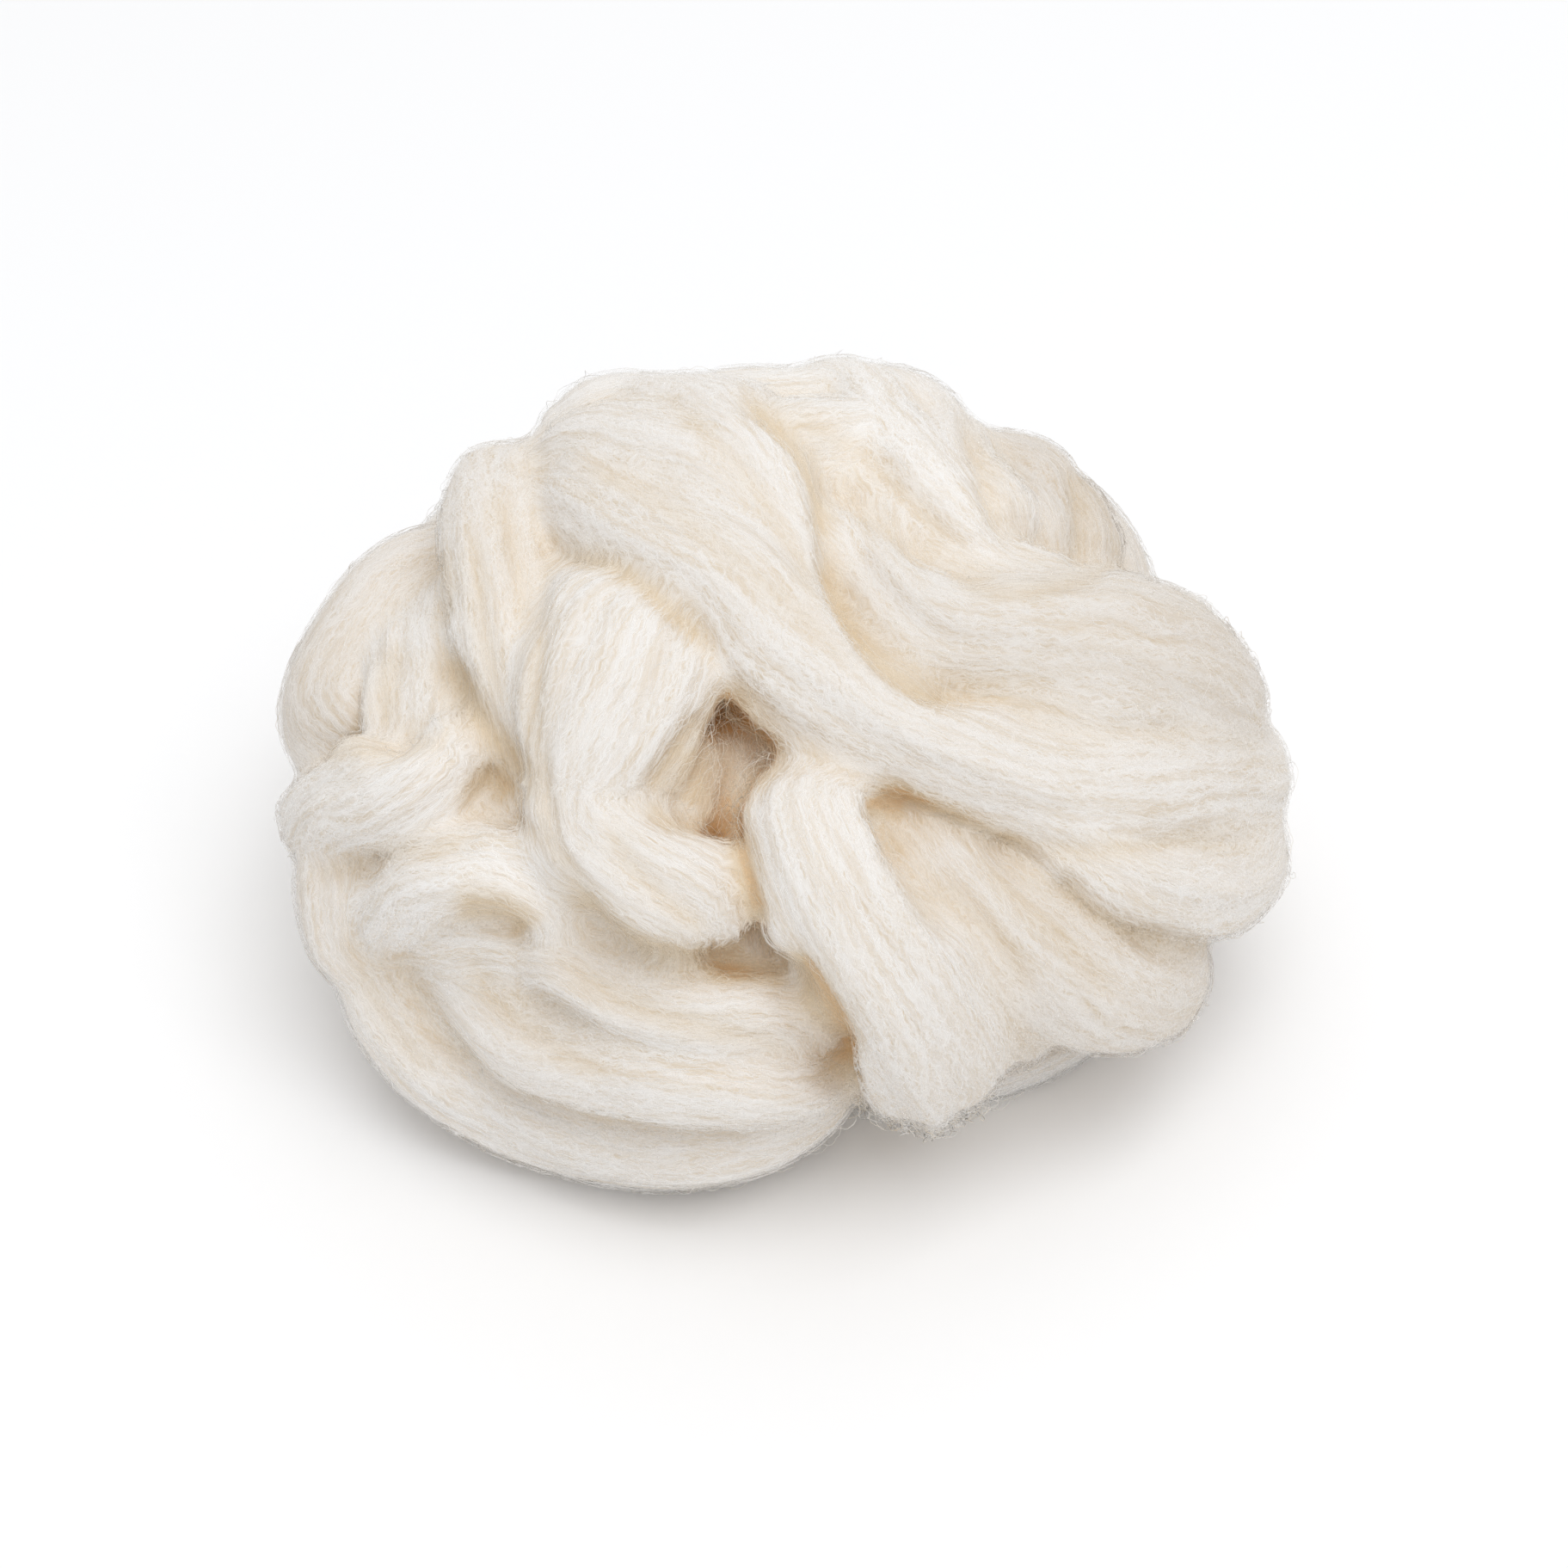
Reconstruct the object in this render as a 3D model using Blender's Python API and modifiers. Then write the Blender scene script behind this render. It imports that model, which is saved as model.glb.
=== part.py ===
"""Wool roving: one thick, soft rope of combed wool, laid over itself into a loose rounded heap.

The heap is about 215 mm long, 200 mm deep and 130 mm high, and it rests on a flat spot.
Each turn of the rope is a fold: a row of stations along its middle line, joined by a smooth curve and
covered by oval sections. The folds and the packed wool inside them are fused into one solid.
World frame: metres, +Z up, +X to the right, the front of the heap at -Y, the floor at Z = 0.
"""

import math
from typing import NamedTuple

import bmesh
import bpy
import numpy as np
from mathutils import Vector

MM = 0.001

# The rounded heap that the folds lie on, in millimetres. A section's thickness points straight out of it.
HEAP_MIDDLE = (0.0, 0.0, 52.0)
HEAP_HALF_SIZES = (92.0, 80.0, 58.0)
# The packed wool under the folds is this much smaller than the heap all round.
CORE_INSET = 12.0
# The flattened wool that the heap rests on.
FOOT_MIDDLE = (0.0, -2.0, 20.0)
FOOT_HALF_SIZES = (72.0, 62.0, 27.0)

RING_SPACING = 3.5
SECTION_POINTS = 22
TIP_SIZE = 0.08

VOXEL = 3.4 * MM
SMOOTH_STEPS = 2
TRIANGLES_KEPT = 0.24

CUTTER_HALF = 160.0 * MM
CUTTER_DEPTH = 60.0 * MM

WOOL_COLOUR = (0.80, 0.70, 0.55, 1.0)


class Station(NamedTuple):
    """One place on a fold's middle line, in millimetres."""

    x: float
    y: float
    z: float
    wide: float  # across the fold, along the heap's surface
    thick: float  # straight out of the heap


# One table for each fold, with a row for each station: x, y, z, wide, thick.
FRONT_FOLDS = {
    "main_sweep": (
        (-43, 40, 78, 20, 20),
        (-40, 17, 104, 23, 26),
        (-25, -7, 113, 27, 28),
        (-10, -21, 114, 28, 30),
        (2, -34, 108, 32, 30),
        (16, -45, 102, 28, 28),
        (31, -51, 97, 25, 26),
        (54, -50, 87, 23, 24),
        (79, -35, 74, 24, 24),
        (95, -10, 56, 27, 25),
        (80, 8, 60, 26, 20),
    ),
    "sweep_back": (
        (-42, 36, 80, 20, 20),
        (-41, 35, 100, 25, 28),
        (-27, 23, 109, 30, 30),
        (-14, 8, 114, 30, 30),
        (-2, -10, 113, 27, 28),
        (9, -22, 107, 20, 22),
    ),
    "crown_left": (
        (-41, 43, 79, 24, 22),
        (-41, 52, 94, 31, 28),
        (-29, 52, 97, 31, 30),
        (-16, 37, 107, 31, 30),
        (-6, 13, 116, 26, 30),
        (2, -6, 113, 19, 28),
        (9, -18, 103, 13, 18),
    ),
    "crown_ridge": (
        (-4, 53, 88, 8, 14),
        (5, 53, 96, 12, 16),
        (11, 30, 106, 15, 18),
        (17, 10, 110, 16, 18),
        (26, -2, 105, 13, 16),
    ),
    "crown_middle": (
        (-10, 32, 100, 16, 18),
        (0, 57, 95, 18, 22),
        (13, 56, 101, 20, 26),
        (22, 26, 111, 20, 24),
        (32, 5, 113, 19, 22),
        (44, -7, 109, 16, 18),
    ),
    "crown_right": (
        (2, 38, 102, 20, 22),
        (13, 57, 97, 22, 26),
        (25, 56, 98, 22, 26),
        (33, 43, 100, 20, 24),
        (37, 20, 109, 16, 22),
        (48, 2, 107, 14, 18),
    ),
    "shoulder": (
        (12, 48, 82, 12, 16),
        (16, 5, 106, 19, 22),
        (20, -14, 109, 20, 24),
        (30, -27, 107, 25, 28),
        (45, -28, 106, 27, 30),
        (62, -25, 101, 34, 32),
        (78, -17, 89, 35, 30),
        (87, -5, 72, 34, 28),
        (76, 4, 68, 30, 22),
    ),
    "shoulder_back": (
        (22, 10, 98, 20, 20),
        (32, -4, 104, 24, 24),
        (47, -11, 101, 25, 26),
        (63, -9, 94, 26, 26),
        (78, 2, 84, 26, 24),
    ),
    "shoulder_low": (
        (30, -36, 100, 16, 18),
        (45, -37, 98, 18, 20),
        (62, -37, 92, 20, 22),
        (80, -27, 80, 20, 22),
        (88, -12, 68, 20, 20),
    ),
    "right_band": (
        (36, -52, 82, 8, 12),
        (44, -55, 84, 9, 16),
        (54, -57, 79, 13, 20),
        (69, -56, 67, 18, 24),
        (86, -39, 51, 22, 25),
        (97, -19, 44, 22, 22),
        (90, -4, 44, 20, 20),
    ),
    "fan_low": (
        (21, -50, 86, 14, 16),
        (34, -63, 76, 18, 20),
        (47, -68, 63, 25, 25),
        (64, -63, 45, 28, 28),
        (76, -48, 33, 26, 26),
        (80, -34, 34, 24, 22),
    ),
    "fan_left": (
        (17, -53, 84, 14, 16),
        (28, -66, 73, 16, 20),
        (38, -71, 58, 18, 22),
        (48, -60, 32, 16, 20),
        (42, -52, 28, 14, 18),
    ),
    "front_drop": (
        (9, -45, 83, 20, 18),
        (4.5, -62, 89, 27, 24),
        (5.5, -72.5, 90, 29, 28),
        (11.5, -80, 81, 31, 30),
        (21, -84, 66, 32, 30),
        (29, -80, 45, 32, 28),
        (31, -64, 21, 31, 24),
    ),
    "knuckle": (
        (-36, 16, 92, 30, 24),
        (-33, -14, 104, 35, 28),
        (-33, -36, 107, 41, 31),
        (-35, -48, 101, 38, 29),
        (-38.5, -57, 91, 27, 26),
        (-36.5, -65, 87, 24, 26),
        (-28, -73, 85, 27, 28),
        (-19.5, -75, 80, 28, 27),
        (-14.5, -71, 69, 21, 20),
    ),
    "tuck": (
        (-19, -32, 82, 14, 13),
        (-18, -43, 87, 18, 15),
        (-21, -53, 85, 23, 16),
        (-23, -60, 80, 22, 14),
    ),
    "hole_floor": (
        (-9, -16, 95, 14, 14),
        (-10, -28, 87, 18, 16),
        (-9, -40, 81, 20, 18),
        (-7, -54, 73, 20, 16),
        (-4, -66, 66, 16, 16),
        (-2, -75, 60, 16, 16),
    ),
    "fist_floor": (
        (-42, -58, 64, 16, 16),
        (-31, -67, 67, 18, 18),
        (-17, -70, 63, 18, 18),
        (-4, -69, 60, 16, 16),
    ),
    "strap": (
        (-44, 43, 82, 20, 20),
        (-60, 41, 91, 22, 24),
        (-60, 6, 101, 22, 26),
        (-57, -17, 99, 20, 24),
        (-54, -34, 90, 15, 20),
        (-48, -47, 75, 11, 14),
    ),
    "outer_back": (
        (-62, 30, 74, 22, 22),
        (-75, 27, 74.5, 26, 28),
        (-85, 13, 73, 28, 32),
        (-93, -2, 65, 27, 30),
        (-86, -15, 60, 26, 26),
    ),
    "inner_slip": (
        (-71, 27, 72, 10, 14),
        (-79, 6, 79, 12, 16),
        (-78, -13, 80, 13, 18),
        (-76, -27, 74, 14, 18),
        (-74, -36, 66, 12, 16),
    ),
    "slip_floor": (
        (-68, 18, 78, 20, 18),
        (-69, 3, 84, 22, 20),
        (-68, -14, 84, 22, 20),
        (-66, -29, 78, 22, 20),
        (-59, -40, 73, 18, 18),
        (-54, -48, 71, 14, 14),
    ),
    "left_band": (
        (-85, -23, 45, 20, 22),
        (-95, -19, 49, 20, 24),
        (-88, -32, 66, 18, 26),
        (-76, -42, 78, 18, 24),
        (-67, -41, 84, 17, 22),
        (-64, -31, 83, 12, 16),
    ),
    "left_drop": (
        (-86, -20, 56, 20, 20),
        (-89, -34, 50, 26, 26),
        (-86, -43, 37, 20, 24),
        (-69, -45, 33, 14, 16),
    ),
    "curl": (
        (-68, -38, 37, 16, 16),
        (-80, -42, 45, 17, 20),
        (-68, -56, 69, 18, 24),
        (-56, -62, 76, 18, 24),
        (-46, -66, 74, 16, 20),
        (-40, -65, 61, 12, 14),
    ),
    "hollow_floor": (
        (-70, -32, 64, 18, 20),
        (-58, -44, 70, 22, 20),
        (-47, -52, 68, 18, 18),
    ),
    "curl_floor": (
        (-77, -42, 41, 14, 16),
        (-67, -55, 51, 17, 18),
        (-56, -63, 57, 16, 16),
        (-46, -66, 58, 12, 14),
    ),
    "base_outer": (
        (-75, -31, 41, 16, 20),
        (-82, -46, 32, 18, 24),
        (-72, -59, 25, 20, 26),
        (-55, -67, 19, 20, 28),
        (-37, -72, 16, 20, 28),
        (-20, -74, 16, 20, 28),
        (-4, -69, 17, 20, 26),
        (11, -60, 22, 18, 22),
    ),
    "base_middle": (
        (-75, -29, 41, 14, 16),
        (-75, -43, 34, 15, 22),
        (-66, -56, 28, 18, 26),
        (-51, -68, 24, 20, 28),
        (-33, -78, 24, 20, 28),
        (-14, -82, 26, 20, 28),
        (2, -73, 26, 18, 26),
        (13, -60, 26, 18, 20),
    ),
    "base_top": (
        (-67, -38, 37, 12, 16),
        (-62, -58, 43, 16, 22),
        (-49, -72, 42, 19, 26),
        (-33, -81, 44, 20, 26),
        (-16, -87, 46, 20, 26),
        (0, -82, 41, 18, 24),
        (12, -60, 27, 18, 18),
    ),
    "base_lip": (
        (-55, -51, 48, 12, 16),
        (-42, -71, 61, 13, 20),
        (-29, -79, 60, 14, 22),
        (-14, -83, 60, 14, 22),
        (-1, -80, 57, 14, 20),
        (8, -66, 38, 14, 16),
    ),
    "back_lobe": (
        (33, 44, 82, 12, 20),
        (44, 44, 90, 18, 26),
        (54, 33, 94, 21, 27),
        (60, 17, 96, 20, 24),
        (62, 3, 94, 18, 20),
    ),
    "lobe_floor": (
        (38, 42, 88, 16, 20),
        (46, 28, 96, 18, 20),
        (53, 14, 99, 18, 20),
        (57, 2, 98, 16, 18),
    ),
    "back_fold": (
        (39, 45, 83, 14, 20),
        (50, 45, 86, 16, 22),
        (61, 38, 83, 20, 24),
        (69, 28, 77, 20, 22),
        (70, 17, 70, 18, 20),
    ),
}

REAR_FOLDS = {
    "rear_crown": (
        (-30, -15, 98, 20, 20),
        (-28, 9, 110, 28, 26),
        (-4, 20, 113, 30, 28),
        (19, 29, 108, 26, 24),
        (38, 25, 95, 20, 20),
    ),
    "rear_top": (
        (-55, 8, 84, 20, 20),
        (-48, 35, 91, 28, 26),
        (-21, 50, 98, 30, 28),
        (11, 53, 98, 30, 26),
        (42, 43, 90, 26, 24),
        (60, 31, 76, 22, 22),
    ),
    "rear_right": (
        (66, -3, 78, 22, 24),
        (68, 12, 71, 28, 26),
        (64, 34, 64, 30, 26),
        (57, 54, 63, 30, 28),
        (46, 70, 58, 26, 26),
        (32, 66, 42, 24, 22),
    ),
    "rear_middle": (
        (-79, 6, 72, 22, 22),
        (-76, 32, 67, 30, 28),
        (-55, 58, 70, 34, 30),
        (-23, 73, 72, 36, 30),
        (16, 76, 70, 36, 30),
        (50, 63, 66, 30, 28),
        (70, 38, 60, 24, 24),
    ),
    "rear_low": (
        (-88, -7, 52, 22, 24),
        (-92, 21, 52, 28, 28),
        (-75, 55, 49, 34, 30),
        (-42, 79, 46, 36, 30),
        (0, 86, 44, 36, 30),
        (35, 77, 41, 28, 28),
        (55, 57, 41, 22, 24),
    ),
    "rear_side": (
        (82, 8, 66, 22, 22),
        (86, 26, 55, 28, 28),
        (83, 40, 43, 30, 28),
        (64, 44, 32, 24, 22),
    ),
    "rear_foot": (
        (-74, 6, 21, 24, 22),
        (-71, 36, 19, 32, 28),
        (-41, 62, 16, 34, 28),
        (0, 70, 14, 34, 28),
        (40, 60, 14, 34, 28),
        (68, 37, 17, 32, 28),
        (80, 12, 22, 28, 24),
        (74, -12, 27, 24, 22),
    ),
    "left_foot": (
        (-64, -35, 27, 18, 20),
        (-82, -21, 24, 24, 26),
        (-90, 0, 30, 26, 26),
        (-81, 20, 37, 20, 22),
    ),
    "under_left": (
        (-58, 9, 12, 22, 22),
        (-63, -20, 8, 28, 24),
        (-42, -45, 7, 28, 24),
        (-14, -46, 10, 22, 22),
    ),
    "under_right": (
        (0, -49, 11, 22, 22),
        (34, -48, 10, 26, 24),
        (61, -31, 11, 28, 24),
        (61, 0, 13, 22, 22),
    ),
}


def smooth_curve(rows: np.ndarray, places: np.ndarray) -> np.ndarray:
    """Reads a smooth curve through the rows, at places counted in rows from the first one."""
    before = 2 * rows[0] - rows[1]
    after = 2 * rows[-1] - rows[-2]
    held = np.vstack([before, rows, after])
    row = np.minimum(places.astype(int), len(rows) - 2)
    part = (places - row)[:, None]
    p0, p1, p2, p3 = (held[row + step] for step in range(4))
    straight = (p2 - p0) * part
    bend = (2 * p0 - 5 * p1 + 4 * p2 - p3) * part**2
    twist = (3 * p1 - p0 - 3 * p2 + p3) * part**3
    return 0.5 * (2 * p1 + straight + bend + twist)


def unit(vectors: np.ndarray) -> np.ndarray:
    return vectors / np.linalg.norm(vectors, axis=1, keepdims=True)


def fold_rings(stations: list[Station]) -> np.ndarray:
    """Works out the oval sections of one fold, as an array of rings x section points x 3, in millimetres."""
    rows = np.array(stations, float)
    length = np.linalg.norm(np.diff(rows[:, :3], axis=0), axis=1).sum()
    count = max(8, math.ceil(length / RING_SPACING))
    curve = smooth_curve(rows, np.linspace(0, len(rows) - 1, count))
    middle, wide, thick = curve[:, :3], curve[:, 3], curve[:, 4]

    along = unit(np.gradient(middle, axis=0))
    out = unit((middle - HEAP_MIDDLE) / np.square(HEAP_HALF_SIZES))
    out = unit(out - along * np.sum(out * along, axis=1, keepdims=True))
    across = np.cross(along, out)

    # The ends are half round: their sections shrink over a length of half the fold's width.
    travelled = np.linspace(0, length, count)
    to_end = np.minimum(travelled, length - travelled)
    inside_cap = np.clip(1 - to_end / (0.5 * wide), 0, 1)
    shrink = np.sqrt(np.maximum(1 - inside_cap**2, TIP_SIZE**2))

    turn = np.linspace(0, 2 * math.pi, SECTION_POINTS, endpoint=False)
    sideways = np.outer(0.5 * wide * shrink, np.cos(turn))
    outward = np.outer(0.5 * thick * shrink, np.sin(turn))
    return middle[:, None] + sideways[..., None] * across[:, None] + outward[..., None] * out[:, None]


def add_fold(mesh: bmesh.types.BMesh, stations: list[Station]) -> None:
    """Skins one fold's sections and closes both of its ends."""
    rings = [[mesh.verts.new(point * MM) for point in ring] for ring in fold_rings(stations)]
    for ring, following in zip(rings, rings[1:]):
        for here in range(SECTION_POINTS):
            beside = (here + 1) % SECTION_POINTS
            mesh.faces.new((ring[here], ring[beside], following[beside], following[here]))
    mesh.faces.new(rings[0][::-1])
    mesh.faces.new(rings[-1])


def add_rounded_mass(mesh: bmesh.types.BMesh, middle: Vector, half_sizes: Vector) -> None:
    """One egg-shaped mass of packed wool, its sizes in millimetres."""
    made = bmesh.ops.create_uvsphere(mesh, u_segments=48, v_segments=24, radius=1.0)
    bmesh.ops.scale(mesh, vec=half_sizes * MM, verts=made["verts"])
    bmesh.ops.translate(mesh, vec=middle * MM, verts=made["verts"])


def add_packed_wool(mesh: bmesh.types.BMesh) -> None:
    """The wool under the folds, which leaves no sealed hollow between them, and the heap's foot."""
    inset = Vector((CORE_INSET, CORE_INSET, CORE_INSET))
    add_rounded_mass(mesh, Vector(HEAP_MIDDLE), Vector(HEAP_HALF_SIZES) - inset)
    add_rounded_mass(mesh, Vector(FOOT_MIDDLE), Vector(FOOT_HALF_SIZES))


def wool_material() -> bpy.types.Material:
    material = bpy.data.materials.new("natural_wool")
    material.use_nodes = True
    shader = material.node_tree.nodes["Principled BSDF"]
    shader.inputs["Base Color"].default_value = WOOL_COLOUR
    shader.inputs["Roughness"].default_value = 0.95
    shader.inputs["Metallic"].default_value = 0.0
    return material


def floor_cutter(collection: bpy.types.Collection) -> bpy.types.Object:
    """A block under the floor, which gives the heap its flat spot."""
    bpy.ops.mesh.primitive_cube_add(size=1.0, location=(0, 0, -CUTTER_DEPTH / 2))
    cutter = bpy.context.object
    cutter.name = "floor_cutter"
    cutter.scale = (2 * CUTTER_HALF, 2 * CUTTER_HALF, CUTTER_DEPTH)
    cutter.hide_render = True
    cutter.display_type = "WIRE"
    for holder in cutter.users_collection:
        holder.objects.unlink(cutter)
    collection.objects.link(cutter)
    return cutter


def make_roving(collection: bpy.types.Collection, cutter: bpy.types.Object) -> bpy.types.Object:
    """Joins the folds and the core, fuses them into one solid and cuts its flat spot."""
    joined = bmesh.new()
    for table in (FRONT_FOLDS, REAR_FOLDS):
        for rows in table.values():
            add_fold(joined, [Station(*row) for row in rows])
    add_packed_wool(joined)
    bmesh.ops.recalc_face_normals(joined, faces=joined.faces)

    mesh = bpy.data.meshes.new("roving")
    joined.to_mesh(mesh)
    joined.free()
    mesh.shade_smooth()
    mesh.materials.append(wool_material())
    roving = bpy.data.objects.new("roving", mesh)
    collection.objects.link(roving)

    fuse = roving.modifiers.new("fuse_folds", "REMESH")
    fuse.mode = "VOXEL"
    fuse.voxel_size = VOXEL
    fuse.use_smooth_shade = True

    soften = roving.modifiers.new("soften", "SMOOTH")
    soften.factor = 0.5
    soften.iterations = SMOOTH_STEPS

    thin_out = roving.modifiers.new("thin_out", "DECIMATE")
    thin_out.ratio = TRIANGLES_KEPT

    flatten = roving.modifiers.new("flat_spot", "BOOLEAN")
    flatten.operation = "DIFFERENCE"
    flatten.object = cutter
    return roving


def main() -> None:
    for old in list(bpy.data.objects):
        bpy.data.objects.remove(old, do_unlink=True)
    parts = bpy.data.collections.new("wool_roving")
    cutters = bpy.data.collections.new("cutters")
    bpy.context.scene.collection.children.link(parts)
    bpy.context.scene.collection.children.link(cutters)
    cutter = floor_cutter(cutters)
    make_roving(parts, cutter)


if __name__ == "__main__":
    main()
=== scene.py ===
"""Looks of the wool roving: a heap of one thick rope of combed wool.

The folds of the rope are lofted, fused and softened into one body, and the way its fibres run is worked out
from them. Single fibres then lie combed along it, stand off it in loops and fray at the loose end.
World frame in metres, +Z up, with the front of the heap at -Y and the floor at Z = 0.
"""

from __future__ import annotations

import logging
import math
from dataclasses import dataclass, field
from enum import Enum

import bpy
import numpy as np
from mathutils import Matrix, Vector
from mathutils.bvhtree import BVHTree

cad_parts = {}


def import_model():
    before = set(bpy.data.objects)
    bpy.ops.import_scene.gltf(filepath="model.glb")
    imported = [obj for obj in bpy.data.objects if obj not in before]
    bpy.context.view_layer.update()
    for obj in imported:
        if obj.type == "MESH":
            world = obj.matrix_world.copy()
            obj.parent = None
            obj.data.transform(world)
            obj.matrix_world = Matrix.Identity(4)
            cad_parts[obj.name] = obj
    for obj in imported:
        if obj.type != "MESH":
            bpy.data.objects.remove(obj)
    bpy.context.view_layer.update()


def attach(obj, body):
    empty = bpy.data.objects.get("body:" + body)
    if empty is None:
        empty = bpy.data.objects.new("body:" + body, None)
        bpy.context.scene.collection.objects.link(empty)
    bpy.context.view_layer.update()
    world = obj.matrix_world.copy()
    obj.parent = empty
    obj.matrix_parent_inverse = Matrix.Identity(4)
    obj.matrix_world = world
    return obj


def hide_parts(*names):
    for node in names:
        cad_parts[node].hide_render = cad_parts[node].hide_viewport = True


LOG = logging.getLogger("wool_roving")
Array = np.ndarray
MM = 0.001

# The rounded heap that the folds lie on, in millimetres. A section's thickness points straight out of it.
HEAP_MIDDLE = np.array((0.0, 0.0, 52.0))
HEAP_HALF_SIZES = np.array((92.0, 80.0, 58.0))
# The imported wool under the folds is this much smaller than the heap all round.
CORE_INSET = 12.0
# The flattened wool that the heap rests on.
FOOT_MIDDLE = np.array((0.0, -2.0, 20.0))
FOOT_HALF_SIZES = np.array((72.0, 62.0, 27.0))
# The lowest that the wool reaches, so that the heap lies flat on its spot.
LOWEST = 0.3
# The lowest that single fibres and their haze reach.
FIBRES_LOWEST = 0.5 * LOWEST
# How far the normals of loose fibres turn to the front, and up.
FLUFF = np.array((0.0, -0.15, 0.45))
# Wool that points this way shows best from the front.
FRONT_WAY = np.array((0.0, -0.74, 0.67))
# The dark colour that the painted shade on folds facing aside, back or down goes towards.
PAINTED_SHADE_COLOUR = (0.28, 0.17, 0.05, 1.0)
# The roughness of all noise in the finishes.
NOISE_ROUGHNESS = 0.55
# A fold whose fibres lie along it, and a fold with no painted shade.
STRAIGHT = (0.0, 0.0)
UNSHADED = (0.0, 0.0)

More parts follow.
